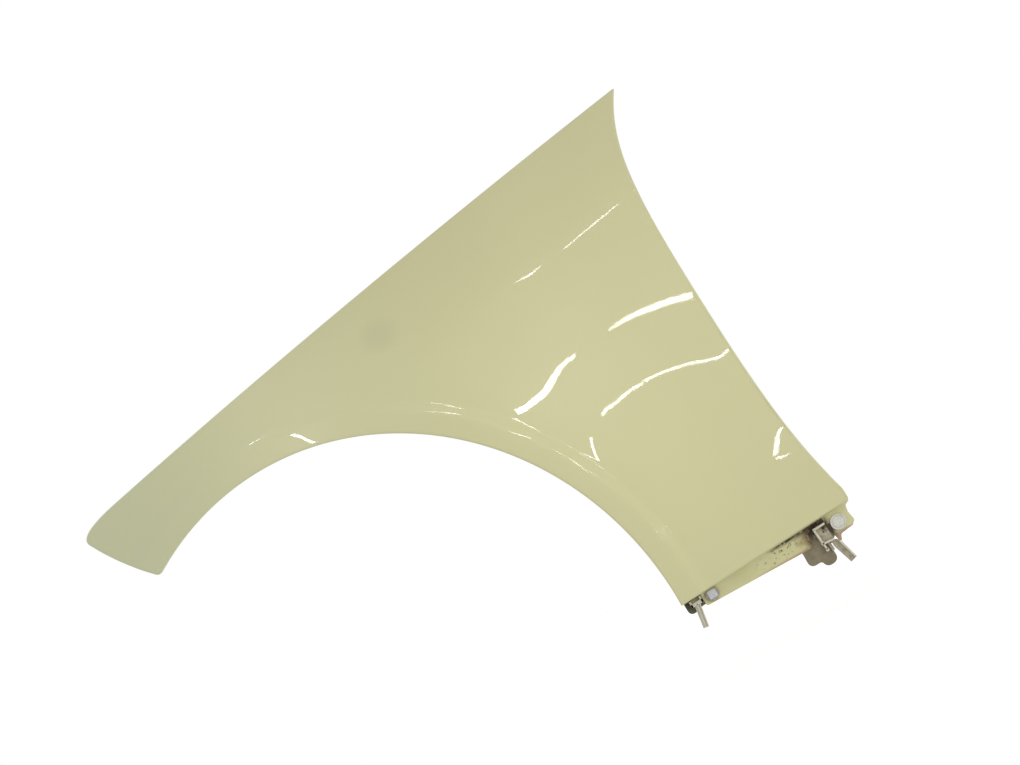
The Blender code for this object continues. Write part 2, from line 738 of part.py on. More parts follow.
def bolt_holes(rows, flange_y, pads, tabs):
    """Cutters for every hole in the flanges."""
    reach = 4 * HOOD_HOLE_R
    holes = []
    for x, slot in zip(pads, HOOD_SLOT_SHARES):
        u, v, w = at(rows["shelf"], x) + [0, HOOD_SHELF - HOOD_HOLE_BACK, 0]
        half = HOOD_HOLE_R + slot * HOOD_SLOT / 2
        ends = [(u + s * half, v + t * HOOD_HOLE_R) for s, t in SQUARE_SHARES]
        outline_of = corner_rounded(ends, [HOOD_HOLE_R * ALMOST_SHARE] * 4)
        holes.append(prism("hood_hole", outline_of, w - reach, w + reach, plan_view))
    for z in tabs:
        centre = at(rows["door"], z, 2) + [0, DOOR_TAB - DOOR_HOLE_BACK, 0]
        holes.append(rod("door_hole", centre, (1, 0, 0), DOOR_HOLE_R, reach))
    for angle in LIP_HOLE_ANGLES:
        x, z = arch_point(angle)
        y = skin_depth(x, z) + BEND + ARCH_LIP / 2
        axis = (ARCH_RZ * math.cos(angle), 0, ARCH_RX * math.sin(angle))
        holes.append(rod("lip_hole", (x, y, z), axis, LIP_HOLE_R, reach))
    front = rows["front"]
    way = front[-1] - front[0]
    for share in FRONT_HOLE_SHARES:
        centre = at(front, front[0, 2] + share * way[2], 2) + [0, FRONT_LIP / 2, 0]
        holes.append(rod("front_hole", centre, (way[2], 0, -way[0]), FRONT_HOLE_R, reach))
    for x, z in (from_heel(REAR_PLUG_X, REAR_PLUG_Z), from_foot(FRONT_PLUG_X, FRONT_PLUG_Z)):
        holes.append(rod("plug_hole", (x, flange_y, z), (0, 1, 0), PLUG_HOLE_R, reach))
    return joined("hole_cutter", holes)


def brackets(flange_y):
    """The two plates that stay fixed to the flange's inboard face."""
    near = flange_y + SHEET + GAP
    far = near + BRACKET_SHEET
    corner = from_heel(REAR_BRACKET_X, REAR_BRACKET_Z)
    rear = shared(corner, REAR_BRACKET_LENGTH, REAR_BRACKET_HEIGHT, REAR_BRACKET_SHARES)
    rear = corner_rounded(rear, REAR_BRACKET_LOBE * np.array(REAR_BRACKET_CORNER_SHARES))
    corner = from_foot(FRONT_BRACKET_X, FRONT_BRACKET_Z)
    front = shared(corner, FRONT_BRACKET_LENGTH, FRONT_BRACKET_HEIGHT, FRONT_BRACKET_SHARES)
    front = corner_rounded(front, FRONT_BRACKET_CORNER * np.array(FRONT_BRACKET_CORNER_SHARES))
    coloured(prism("rear_sill_bracket", rear, near, far), BRACKET_BROWN, 0.7)
    coloured(prism("front_sill_bracket", front, near, far), BRACKET_DARK, 0.7)


def box(low, high):
    return np.array([low, (high[0], low[1]), high, (low[0], high[1])])


def rear_clip(flange_y):
    """The moulded clip in the rear pocket: a square base with walls, a thin rod, a stub and the arm."""
    back = flange_y + SHEET
    base, wall = back - CLIP_BASE_THICK, back - CLIP_WALL_HEIGHT
    corner = from_heel(REAR_CLIP_X, REAR_CLIP_Z)
    size = (REAR_CLIP_WIDTH, REAR_CLIP_HEIGHT)
    left, top = corner
    right, low = left + REAR_CLIP_WIDTH, top - REAR_CLIP_HEIGHT
    rod_end = shared(corner, *size, REAR_CLIP_ROD_SHARES)
    knob = rod_end + REAR_CLIP_ROD_TIP_R * np.array(SQUARE_SHARES)
    knob = corner_rounded(knob, [REAR_CLIP_ROD_TIP_R * ALMOST_SHARE] * 4)
    arm_widths = [CLIP_WALL, REAR_CLIP_ARM_WIDTH, REAR_CLIP_ARM_TIP]
    arm = strip(shared(corner, *size, REAR_CLIP_ARM_SHARES), arm_widths)
    stub = strip(shared(corner, *size, REAR_CLIP_STUB_SHARES), [REAR_CLIP_STUB_WIDTH] * 2)
    lower = strip([(left, low + CLIP_WALL), (right, low + GAP)], [CLIP_WALL] * 2)
    upright = strip([(left, top - CLIP_WALL / 2), rod_end], [CLIP_WALL] * 2)
    inside = top - CLIP_WALL
    side = [(low, back), (low, base), (inside, base), (inside, wall), (top, wall), (top, back)]
    pieces = [
        prism("base", side, left, right, end_view),
        prism("upright", upright, wall + GAP, base + GAP),
        prism("knob", knob, wall - GAP, base),
        prism("lower", lower, wall + 2 * GAP, back - GAP),
        prism("stub", stub, base + GAP / 2, back - 2 * GAP),
        prism("arm", arm, wall - CLIP_BASE_THICK, flange_y - 2 * GAP),
    ]
    clip = united("rear_sill_clip", pieces)
    x, z = shared(corner, *size, REAR_CLIP_HOLE_SHARES)
    cutter = rod("clip_hole", (x, back, z), (0, 1, 0), REAR_CLIP_HOLE_R, CLIP_WALL_HEIGHT)
    boolean(clip, cutter)
    coloured(clip, CLIP_IVORY, 0.45)


def front_clip(flange_y):
    """The moulded clip in the front pocket: a plate, a cross bar with two upright ends and the leg."""
    back = flange_y + SHEET
    base, wall = back - CLIP_BASE_THICK, back - CLIP_WALL_HEIGHT
    corner = from_foot(FRONT_CLIP_X, FRONT_CLIP_Z)
    left, up = corner
    right, low = left + FRONT_CLIP_WIDTH, up - FRONT_CLIP_HEIGHT
    top = low + FRONT_CLIP_BAR
    path = shared(corner, FRONT_CLIP_WIDTH, FRONT_CLIP_HEIGHT, FRONT_CLIP_LEG_SHARES)
    leg, rib = strip(path, [FRONT_CLIP_LEG_WIDTH] * 2), strip(path, [FRONT_CLIP_RIB] * 2)
    side = [(low, back), (low, wall), (top, wall), (top, base), (up, base), (up, back)]
    left_end = box((left + GAP, low + GAP), (left + CLIP_WALL, up - GAP))
    right_end = box((right - CLIP_WALL, low + GAP), (right - GAP, up - GAP))
    pieces = [
        prism("base", side, left, right, end_view),
        prism("left_end", left_end, wall + GAP, back - GAP),
        prism("right_end", right_end, wall + GAP, back - GAP),
        prism("leg", leg, back - FRONT_CLIP_LEG_THICK, back - GAP),
        prism("rib", rib, wall + 2 * GAP, base + GAP),
    ]
    coloured(united("front_sill_clip", pieces), CLIP_IVORY, 0.45)


def plugs(flange_y):
    """The round plug in the rear tab and the pad behind the skin's lower edge at the front."""
    ring, disc, proud = REAR_PLUG_R - REAR_PLUG_RING, REAR_PLUG_DISC_R, REAR_PLUG_PROUD
    profile = [
        (0, -proud * DISC_SHARE),
        (disc - REAR_PLUG_RING / 2, -proud * DISC_SHARE),
        (disc, -proud * GROOVE_SHARE),
        (ring, -proud * GROOVE_SHARE),
        (ring + REAR_PLUG_RING / 2, -proud),
        (REAR_PLUG_R, -proud * DISC_SHARE),
        (REAR_PLUG_R, -GAP),
        (PLUG_STEM_R, -GAP),
        (PLUG_STEM_R, PLUG_STEM),
        (0, PLUG_STEM),
    ]
    plug = turned("rear_sill_plug", profile, from_heel(REAR_PLUG_X, REAR_PLUG_Z), flange_y)
    coloured(plug, PLUG_WHITE, 0.4)
    proud, core = FRONT_PLUG_PROUD, FRONT_PLUG_CORE_R
    profile = [
        (0, -proud),
        (core - GAP, -proud),
        (core, -proud * DISC_SHARE),
        (FRONT_PLUG_R - CLIP_WALL / 2, -proud * DISC_SHARE),
        (FRONT_PLUG_R, -proud * GROOVE_SHARE),
        (FRONT_PLUG_R, -GAP),
        (PLUG_STEM_R, -GAP),
        (PLUG_STEM_R, PLUG_STEM),
        (0, PLUG_STEM),
    ]
    pad = turned("front_sill_plug", profile, from_foot(FRONT_PLUG_X, FRONT_PLUG_Z), flange_y)
    corner = from_foot(FRONT_PLUG_X, FRONT_PLUG_TOP)
    side = 2 * FRONT_PLUG_R
    above = box(corner - (side, 0), corner + side)
    near, far = flange_y - 2 * FRONT_PLUG_PROUD, flange_y + 2 * PLUG_STEM
    boolean(pad, prism("pad_cutter", above, near, far))
    coloured(pad, PLUG_GREY, 0.6)


def shelf_point(shelf, x):
    """A point under the hood flange, level with the pads' bolt holes."""
    slope = HOOD_SLOPE_SHARE - 2 * HOOD_SAG * x / HOOD_LENGTH**2
    return at(shelf, x) + [0, HOOD_SHELF - HOOD_HOLE_BACK, -SHEET * math.hypot(1, slope)]


def main():
    for obj in list(bpy.data.objects):
        bpy.data.objects.remove(obj)
    panel, flange_y, rows = fender()
    shelf_z = rows["shelf"][:, 2]
    hood_level = (shelf_z.min() - TAB_ROOT, shelf_z.max() + TAB_ROOT)
    door_level = (DOOR_X - DOOR_TAB, TIP_X + DOOR_TAB)
    pads = NOSE_X + HOOD_LENGTH * np.array(HOOD_PAD_SHARES)
    tabs = SILL_Z + (hood_z(TIP_X) - SILL_Z) * np.array(DOOR_TAB_SHARES)
    hood = (pads, HOOD_PAD_HALF, HOOD_SHELF_BETWEEN, HOOD_SHELF - CUT, hood_level, plan_view)
    door = (tabs, DOOR_TAB_HALF, DOOR_LIP, DOOR_TAB - CUT, door_level, end_view)
    boolean(panel, sill_cutter(flange_y))
    boolean(panel, tabbed_edge("hood_cutter", rows["shelf"], 0, *hood))
    boolean(panel, tabbed_edge("door_cutter", rows["door"], 2, *door))
    boolean(panel, bolt_holes(rows, flange_y, pads, tabs))
    coloured(panel, PAINT, 0.25)
    brackets(flange_y)
    rear_clip(flange_y)
    front_clip(flange_y)
    plugs(flange_y)
    mounts = [shelf_point(rows["shelf"], x - MOUNT_ASIDE) for x in pads]
    origin = mounts[len(mounts) // 2]
    for obj in bpy.data.objects:
        obj.data.transform(Matrix.Translation(-Vector(origin)))
    print("origin from the wheel-arch centre", origin.round(6), "flange depth", round(flange_y, 6))
    for mount in mounts:
        print("hood pad", (mount - origin).round(6))


main()
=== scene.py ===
# %% [markdown]
# # A used car fender in cream paint
# This lesson dresses the imported solids of a left front fender. The pressed panel is rebuilt as a
# fine surface from the same formulas that shaped the solid, so that its highlights run smoothly.
# The clips, brackets and plugs at the sill are rebuilt with softer edges, their own dirt and
# painted shade.
# The panel could also be shaped by hand with sculpting tools, yet a formula keeps every reflection
# clean, because its slope changes evenly from point to point.

# %% Frame, helpers and the shared box
import math

import bmesh
import bpy
import numpy as np
from mathutils import Matrix


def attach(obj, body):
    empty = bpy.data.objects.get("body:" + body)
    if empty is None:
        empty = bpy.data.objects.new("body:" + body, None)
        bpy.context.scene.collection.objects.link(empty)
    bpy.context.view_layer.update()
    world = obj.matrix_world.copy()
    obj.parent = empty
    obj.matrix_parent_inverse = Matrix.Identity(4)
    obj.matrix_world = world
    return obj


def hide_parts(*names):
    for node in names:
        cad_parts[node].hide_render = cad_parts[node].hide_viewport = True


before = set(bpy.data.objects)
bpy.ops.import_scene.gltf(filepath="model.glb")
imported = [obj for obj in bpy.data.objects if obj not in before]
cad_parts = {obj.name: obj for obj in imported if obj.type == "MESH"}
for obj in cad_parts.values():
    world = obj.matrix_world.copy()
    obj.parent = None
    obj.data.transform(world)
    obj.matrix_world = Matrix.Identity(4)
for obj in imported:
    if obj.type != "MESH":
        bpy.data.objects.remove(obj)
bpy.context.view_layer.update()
print("frame loaded:", sorted(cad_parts))

# %% [markdown]
# ## Sizes of the pressing
# Every size is written from the wheel-arch centre, in metres, as in the solid. The last values say
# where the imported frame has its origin, so that one shift puts each finished piece in place.

# %% Sizes from the wheel-arch centre
ORIGIN = np.array([0.181088, 0.093422, 0.457993])
FLANGE_Y = 0.027856
SHEET, BEND, GAP = 0.001, 0.0025, 0.0003
ARCH_X, ARCH_Z, ARCH_RX, ARCH_RZ = 0.0084, -0.0259, 0.3599, 0.3923
ARCH_FRONT = math.radians(117.2)
NOSE_X, NOSE_ROUND, NOSE_SWEEP, NOSE_BOW, TOE_ROUND = -0.2226, 0.0192, 0.064, 0.0051, 0.006
HOOD_HEIGHT, HOOD_SLOPE, HOOD_SAG = 0.4535, 0.14582, 0.0252
DOOR_X, DOOR_Z, SILL_Z = 0.58795, 0.2291, -0.0494
TIP_X, TIP_ROUND, TIP_ANGLE, TIP_HANDLE = DOOR_X + 0.0513, 0.0035, math.radians(52.5), 0.079
HEEL_X, HEEL_ROUND, HEEL_ANGLE, HEEL_HANDLE = DOOR_X + 0.02385, 0.004, math.radians(76.2), 0.0673
WAIST_UP, WAIST_DOWN, HEEL_STRAIGHT = 0.1694, 0.1293, 0.0163
FOOT_X, HOOD_LENGTH = ARCH_X + ARCH_RX, TIP_X - NOSE_X
print("hood edge", round(HOOD_LENGTH, 3), "m long, arch", round(2 * ARCH_RX, 3), "m wide")

# %% [markdown]
# ## The depth formula
# A pressed panel is one smooth height field seen from the side. The depth adds a plan curve that
# falls away to the nose, a turn over to the hood, a tuck at the sill, and takes off the shoulder
# crease, the flare round the wheel arch and a soft haunch about it. Writing it as a sum lets each
# form be tuned alone, as a stylist does with clay. First come the sizes of each form: how far it
# goes inboard or outward, where it starts and how far it reaches.

# %% Sizes of the depth
PLAN_START, NOSE_INBOARD, NOSE_POWER = 0.62, 0.098, 3.2
TOP_INBOARD, TOP_REACH = 0.045, 0.175
LOW_INBOARD, LOW_START, LOW_REACH = 0.01, 0.15, 0.2
CROWN_Z, CROWN_INBOARD, CROWN_REACH = 0.2, 0.007, 0.25
CREASE_Z, CREASE_RISE, CREASE_RISE_START, CREASE_RISE_SPAN = 0.3943, 0.014, 0.4, 0.186
CREASE_HEIGHT, CREASE_ROUND, CREASE_ABOVE, CREASE_BELOW = 0.0065, 0.006, 0.085, 0.038
CREASE_FADE, CREASE_FULL = 0.26, 0.52
FLARE_HEIGHT, FLARE_FLAT, FLARE_BLEND, FLARE_GRID = 0.0045, 0.026, 0.016, 0.05
HAUNCH_HEIGHT, HAUNCH_REACH = 0.011, 0.1
print("crease", CREASE_HEIGHT, "m high, flare", FLARE_HEIGHT, "m, haunch", HAUNCH_HEIGHT, "m")

# %% [markdown]
# ## The sum itself
# Smooth steps, powers and bell curves fade each form out, because a kink in the slope would show
# as a kink in the reflections.

# %% Depth of the outer skin


def smoothstep(t):
    """Goes from 0 to 1 as three t squared less two t cubed."""
    t = np.clip(t, 0, 1)
    return t * t * (3 - 2 * t)


def hood_z(x):
    """Height of the hood edge: a rising line, less a parabola's sag."""
    return HOOD_HEIGHT + HOOD_SLOPE * x - HOOD_SAG * (x / HOOD_LENGTH) ** 2


def arch_point(angle):
    """The wheel-arch ellipse at an angle from the rear."""
    return np.stack([ARCH_X + ARCH_RX * np.cos(angle), ARCH_Z + ARCH_RZ * np.sin(angle)], -1)


def arch_distance(x, z):
    """Distance outside the arch ellipse, along the ray from its centre."""
    rho = np.hypot((x - ARCH_X) / ARCH_RX, (z - ARCH_Z) / ARCH_RZ)
    return (1 - 1 / rho) * np.hypot(x - ARCH_X, z - ARCH_Z)


def skin_depth(x, z):
    """Inboard place y: plan curve, crown, hood turn, sill tuck, less crease, flare and haunch."""
    nose = np.clip((PLAN_START - x) / (PLAN_START - NOSE_X), 0, None)
    top = np.clip(1 - (hood_z(x) - z) / TOP_REACH, 0, None)
    low = np.clip((LOW_START - z) / LOW_REACH, 0, None)
    rise = np.clip((x - CREASE_RISE_START) / CREASE_RISE_SPAN, 0, None)
    above = z - CREASE_Z - CREASE_RISE * rise**2
    soft = np.hypot(above, CREASE_ROUND) - CREASE_ROUND
    reach = np.where(above > 0, CREASE_ABOVE, CREASE_BELOW)
    fade = smoothstep((x - CREASE_FADE) / (CREASE_FULL - CREASE_FADE))
    crease = CREASE_HEIGHT * fade * np.exp(-soft / reach)
    out = arch_distance(x, z)
    flare = FLARE_HEIGHT * (1 - smoothstep((out - FLARE_FLAT) / FLARE_BLEND))
    haunch = HAUNCH_HEIGHT * np.exp(-((out / HAUNCH_REACH) ** 2))
    crown = CROWN_INBOARD * ((z - CROWN_Z) / CROWN_REACH) ** 2
    turned = NOSE_INBOARD * nose**NOSE_POWER + TOP_INBOARD * top**2 + LOW_INBOARD * low**2
    return turned + crown - crease - flare - haunch


print("depth at the nose", round(float(skin_depth(NOSE_X, 0.3)), 3), "m inboard of the door end")

# %% [markdown]
# ## The outline
# Five curves bound the skin seen from the side: the arch, the straight front edge, the hood edge,
# the S-shaped door edge and the sill. Bezier curves suit them, because a few handles give a long
# smooth sweep. Short quadratic curves round the corners between them.

# %% Curve helpers


def bezier(points, count):
    """A Bezier curve: each control point weighted by its Bernstein polynomial."""
    t = np.linspace(0, 1, count)[:, None]
    n = len(points) - 1
    weighted = [
        math.comb(n, k) * (1 - t) ** (n - k) * t**k * np.array(p, float)
        for k, p in enumerate(points)
    ]
    return sum(weighted)


def along(curve, at):
    """Points of a polyline at these shares of its length."""
    length = np.concatenate([[0], np.cumsum(np.hypot(*np.diff(curve, axis=0).T))])
    return np.stack([np.interp(np.asarray(at) * length[-1], length, c) for c in curve.T], -1)


def trimmed(curve, start, end):
    """The polyline with this much taken off its two ends."""
    length = np.hypot(*np.diff(curve, axis=0).T).sum()
    return along(curve, np.linspace(start / length, 1 - end / length, len(curve)))


def blended(first, second):
    """The corner between two curves, as the halves of one quadratic curve."""
    a, b, c, d = first[-2], first[-1], second[0], second[1]
    u, v = b - a, d - c
    t = ((c[0] - a[0]) * v[1] - (c[1] - a[1]) * v[0]) / (u[0] * v[1] - u[1] * v[0])
    corner = bezier([b, a + t * u, c], 81)
    return np.vstack([first, corner[1:41]]), np.vstack([corner[40:-1], second])


print("curve helpers ready")

# %% [markdown]
# ## The five curves
# The front edge bows out a little, the hood edge sags a little and the door edge swings through a
# waist. Each is sampled finely, so that the grid can later take points from it at any share.

# %% Outline curves


def outline():
    """The five curves: arch, front edge upwards, hood edge, door edge, sill edge."""
    foot_angle = math.asin((SILL_Z - ARCH_Z) / ARCH_RZ)
    arch = arch_point(np.linspace(ARCH_FRONT, foot_angle, 1600))
    toe, nose = arch[0], np.array([NOSE_X, hood_z(NOSE_X)])
    edge = nose - toe
    side = np.array([-edge[1], edge[0]]) / np.hypot(*edge)
    front = bezier([toe, (toe + nose) / 2 + 2 * NOSE_BOW * side, nose], 400)
    x = np.linspace(NOSE_X, TIP_X, 1200)
    hood = np.stack([x, hood_z(x)], -1)
    tip, waist = hood[-1], np.array([DOOR_X, DOOR_Z])
    down = np.array([math.cos(TIP_ANGLE), math.sin(TIP_ANGLE)])
    back = np.array([math.cos(HEEL_ANGLE), -math.sin(HEEL_ANGLE)])
    end = np.array([HEEL_X, SILL_Z + HEEL_STRAIGHT])
    upper = bezier([tip, tip - TIP_HANDLE * down, waist + [0, WAIST_UP], waist], 900)
    lower = bezier([waist, waist - [0, WAIST_DOWN], end - HEEL_HANDLE * back, end], 700)
    door = np.vstack([upper, lower[1:], [HEEL_X, SILL_Z]])
    sill = np.stack([np.linspace(arch[-1][0], HEEL_X, 300), np.full(300, SILL_Z)], -1)
    front, hood = blended(trimmed(front, 0, NOSE_ROUND), trimmed(hood, NOSE_SWEEP, TIP_ROUND))
    backward, front = blended(trimmed(arch, TOE_ROUND, 0)[::-1], trimmed(front, TOE_ROUND, 0))
    hood, door = blended(hood, trimmed(door, TIP_ROUND, HEEL_ROUND))
    door, sill = blended(door, trimmed(sill, 0, HEEL_ROUND)[::-1])
    return backward[::-1], front, hood, door, sill[::-1]


ARCH, FRONT, HOOD, DOOR, SILL = outline()
print("outline of", sum(len(c) for c in (ARCH, FRONT, HOOD, DOOR, SILL)), "points")

# %% [markdown]
# ## The fine sheet
# The skin is a grid of rows and columns. The first rows follow the arch at a set distance, the
# others fill the rest between four edges. Round it runs a rolled edge, then the flanges: the arch
# lip, the front flange, the door flange, the hood flange that turns back and the sill flange.
# One sheet that is thickened afterwards gives an even wall, as pressed steel has. The rows and
# columns crowd where the form turns quickly.

# %% Shares and mitres along the edges
HOOD_COLUMNS, DOOR_COLUMNS, FLARE_ROWS, OUTER_ROWS, BEND_STEPS = 130, 84, 20, 64, 5


def crowded(count):
    """Shares from 0 to 1 that lie closer together at both ends."""
    t = np.linspace(0, 1, count + 1)
    return t - 0.55 * np.sin(2 * np.pi * t) / (2 * np.pi)


def row_shares(curve):
    """Shares of a side edge for the rows: the flare rows at their distance, then evenly."""
    length = np.hypot(*np.diff(curve, axis=0).T).sum()
    flare = np.linspace(0, FLARE_GRID, FLARE_ROWS + 1) / length
    return np.concatenate([flare, flare[-1] + (1 - flare[-1]) * outer_shares()])


def outer_shares():
    """Shares from the flare rows to the far edge, with the last row but one close to that edge."""
    return np.concatenate([np.linspace(0, 0.995, OUTER_ROWS)[1:], [1]])


def mitres(loop):
    """Outward mitre vector at each point of a closed loop that runs clockwise."""
    ahead = np.roll(loop, -1, axis=0) - loop
    ahead /= np.hypot(*ahead.T)[:, None]
    behind = np.roll(ahead, 1, axis=0)
    a, b = np.stack([-ahead[:, 1], ahead[:, 0]], -1), np.stack([-behind[:, 1], behind[:, 0]], -1)
    return (a + b) / (1 + (a * b).sum(axis=1))[:, None]


print("skin of", FLARE_ROWS + OUTER_ROWS + 1, "rows,", HOOD_COLUMNS + DOOR_COLUMNS + 1, "columns")

# %% [markdown]
# ## Rows of the skin
# A Coons patch is the usual way to fill a form between four curves: it adds the blends of opposite
# edges and takes off the blend of the corners. Near the arch the rows keep their distance from the
# lip instead, so that the flare has the same section all round.

# %% Rows of the skin
FLARE_EASE, TIP_POINTS = 0.2, 16


def skin_grid(arch, top, left, right):
    """Plan points: flare rows offset from the arch, then a Coons patch between the four edges."""
    share = np.linspace(0, 1, len(arch))[:, None]
    normal = (arch - (ARCH_X, ARCH_Z)) / (ARCH_RX**2, ARCH_RZ**2)
    normal /= np.hypot(*normal.T)[:, None]
    rows = []
    for k, distance in enumerate(np.linspace(0, FLARE_GRID, FLARE_ROWS + 1)):
        row = arch + distance * normal
        row = row + (left[k] - row[0]) * np.clip(1 - share / FLARE_EASE, 0, 1) ** 2
        row = row + (right[k] - row[-1]) * np.clip(1 - (1 - share) / FLARE_EASE, 0, 1) ** 2
        rows.append(row)
    inner, first = rows[-1], FLARE_ROWS
    for k, t in enumerate(outer_shares(), start=1):
        corners = (1 - share) * ((1 - t) * left[first] + t * left[-1])
        corners = corners + share * ((1 - t) * right[first] + t * right[-1])
        sides = (1 - share) * left[first + k] + share * right[first + k]
        rows.append((1 - t) * inner + t * top + sides - corners)
    return np.array(rows)


def raised(plan):
    """Plan points with the outer face's depth: x, y, z."""
    x, z = plan[..., 0], plan[..., 1]
    return np.stack([x, skin_depth(x, z), z], -1)


def sharpened(inner, loop, tip):
    """Draws the border's points that crossed over inside the sharp tip together on its bisector."""
    ahead = loop[tip + 1] - loop[tip - 1]
    past = (inner - loop[tip]) @ ahead
    near = np.arange(tip - TIP_POINTS, tip + TIP_POINTS + 1)
    crossed = near[np.where(near < tip, past[near] > 0, past[near] <= 0)]
    first, last = min(crossed.min(), tip) - 1, max(crossed.max(), tip) + 1
    ends = [inner[k] + past[k] / (past[k] - past[n]) * (inner[n] - inner[k])
            for k, n in ((first, first + 1), (last, last - 1))]
    inner[first + 1: last] = (ends[0] + ends[1]) / 2
    return inner


print("rows ready, the flare eases into the side edges over", FLARE_EASE, "of its length")

# %% [markdown]
# ## Sections of the edge and flanges
# A press folds the rim of a panel, because a bare cut edge would be weak and sharp. Each fold is a
# short path that goes outward in the side view and inboard in depth, carried along the outline.

# %% Sections of the edge and flanges
FRONT_LIP, ARCH_LIP, DOOR_TAB, WALL_MIN = 0.016, 0.015, 0.028, 0.001
HOOD_WALL, HOOD_SHELF, HOOD_END, HOOD_TURN = 0.016, 0.03, 0.045, math.radians(168)
SILL_DEEP = 0.04


def rolled(loop, inner):
    """A quarter bend from the border to the outline: sine outward, one less cosine inboard."""
    rows = []
    for angle in np.linspace(0, math.pi / 2, BEND_STEPS + 1):
        row = raised(inner + math.sin(angle) * (loop - inner))
        row[:, 1] += BEND * (1 - math.cos(angle))
        rows.append(row)
    return np.array(rows)


def swept(start, outward, path):
    """A strip from the edge points: each path step goes this far outward in plan and inboard."""
    rows = np.repeat(start[None], len(path), axis=0)
    for row, (out, inboard) in zip(rows, path):
        row[:, [0, 2]] += out * outward
        row[:, 1] += inboard
    return rows


def hood_path():
    """Section of the hood flange: back over, down the wall, then level inboard."""
    turn = np.linspace(math.pi / 2, HOOD_TURN, BEND_STEPS + 1)
    path = [(BEND * (math.sin(a) - 1), -BEND * math.cos(a)) for a in turn]
    lean = turn[-1] - math.pi / 2
    out = path[-1][0] - HOOD_WALL * math.sin(lean)
    deep = path[-1][1] + HOOD_WALL * math.cos(lean)
    for a in np.linspace(lean, 0, BEND_STEPS + 1):
        path.append((out - BEND * (math.cos(a) - math.cos(lean)),
                     deep + BEND * (math.sin(lean) - math.sin(a))))
    path.append((path[-1][0], path[-1][1] + HOOD_SHELF))
    return path


print("hood flange section of", len(hood_path()), "points")

# %% [markdown]
# ## The open sheet
# The skin, the rolled ring and the flanges are worked out as grids and put in one list of points.
# Their shared borders are welded later. The hood flange stops short of both ends of its edge. The
# photo hides it, so its length is a guess.

# %% The open sheet


def grid_faces(rows, columns, start, close=False):
    """Quads of a grid of points; close joins the last column to the first."""
    index = np.arange(rows * columns).reshape(rows, columns) + start
    if close:
        index = np.hstack([index, index[:, :1]])
    quads = np.stack([index[:-1, :-1], index[:-1, 1:], index[1:, 1:], index[1:, :-1]], -1)
    return quads.reshape(-1, 4)


def sheet():
    """All points and quads of the panel as one open sheet, with its hood shelf and door rows."""
    arch = along(ARCH, np.linspace(0, 1, HOOD_COLUMNS + DOOR_COLUMNS + 1))
    top = np.vstack([along(HOOD, crowded(HOOD_COLUMNS)), along(DOOR, crowded(DOOR_COLUMNS))[1:]])
    left, right = along(FRONT, row_shares(FRONT)), along(SILL, row_shares(SILL))
    loop = np.vstack([left[:-1], top[:-1], right[:0:-1], arch[:0:-1]])
    mitre = mitres(loop)
    starts = np.cumsum([0, len(left) - 1, len(top) - 1, len(right) - 1, len(arch) - 1])
    inner = sharpened(loop - BEND * mitre, loop, starts[1] + HOOD_COLUMNS)
    ends = np.vstack([inner, inner[:1]])
    borders = [ends[starts[k]: starts[k + 1] + 1] for k in range(4)]
    skin = raised(skin_grid(borders[3][::-1], borders[1], borders[0], borders[2][::-1]))
    ring = rolled(loop, inner)
    edge = ring[-1]
    place = np.arange(len(loop))
    side = np.searchsorted(starts, place, side="right") - 1
    corner = np.isin(place, starts) | (place == starts[1] + HOOD_COLUMNS)
    on_hood = (side == 1) & (place < starts[1] + HOOD_COLUMNS) & ~corner
    on_hood &= (edge[:, 0] > NOSE_X + HOOD_END) & (edge[:, 0] < TIP_X - HOOD_END)
    on_door = (side == 1) & (place > starts[1] + HOOD_COLUMNS)
    on_sill = (side == 2) & ~corner
    depth = np.full(len(loop), WALL_MIN)
    depth[(side == 0) & ~corner] = FRONT_LIP
    depth[(side == 3) & ~corner] = ARCH_LIP
    depth[on_door] = DOOR_TAB
    depth[on_sill] = FLANGE_Y - BEND - edge[on_sill, 1]
    deep = edge.copy()
    deep[:, 1] += depth
    wall = np.array([edge, (edge + deep) / 2, deep])
    turn = np.linspace(0, math.pi / 2, BEND_STEPS + 1)
    sill_path = [(BEND * (1 - math.cos(a)), BEND * math.sin(a)) for a in turn]
    sill_path.append((SILL_DEEP, BEND))
    down = np.tile([0.0, -1.0], (len(loop), 1))
    hood_rows = swept(edge[on_hood], mitre[on_hood], hood_path())
    sill_rows = swept(deep[on_sill], down[on_sill], sill_path)
    points, faces = [], []
    for rows, close in ((skin, False), (ring, True), (hood_rows, False), (sill_rows, False)):
        faces.append(grid_faces(rows.shape[0], rows.shape[1], sum(map(len, points)), close))
        points.append(rows.reshape(-1, 3))
    walls = grid_faces(3, len(loop), 0, close=True)
    column = walls % len(loop)
    walls = walls[~(on_hood[column[:, 0]] & on_hood[column[:, 1]])]
    faces.append(walls + sum(map(len, points)))
    points.append(wall.reshape(-1, 3))
    return np.vstack(points), np.vstack(faces), hood_rows[-2], edge[on_door][::-1]


POINTS, FACES, SHELF, DOOR_ROW = sheet()
print("open sheet:", len(POINTS), "points,", len(FACES), "quads")

# %% [markdown]
# ## From arrays to meshes
# Large grids go into Blender as whole arrays, which is far quicker than point by point. Joining the
# borders afterwards and turning all faces the same way makes one clean surface of the grids.

# %% Mesh helpers


def mesh_object(name, points, faces):
    """A mesh object from an array of points and a list or array of faces."""
    mesh = bpy.data.meshes.new(name)
    mesh.from_pydata(np.asarray(points, float), [], np.asarray(faces).tolist()
                     if isinstance(faces, np.ndarray) else faces)
    obj = bpy.data.objects.new(name, mesh)
    bpy.context.scene.collection.objects.link(obj)
    return obj


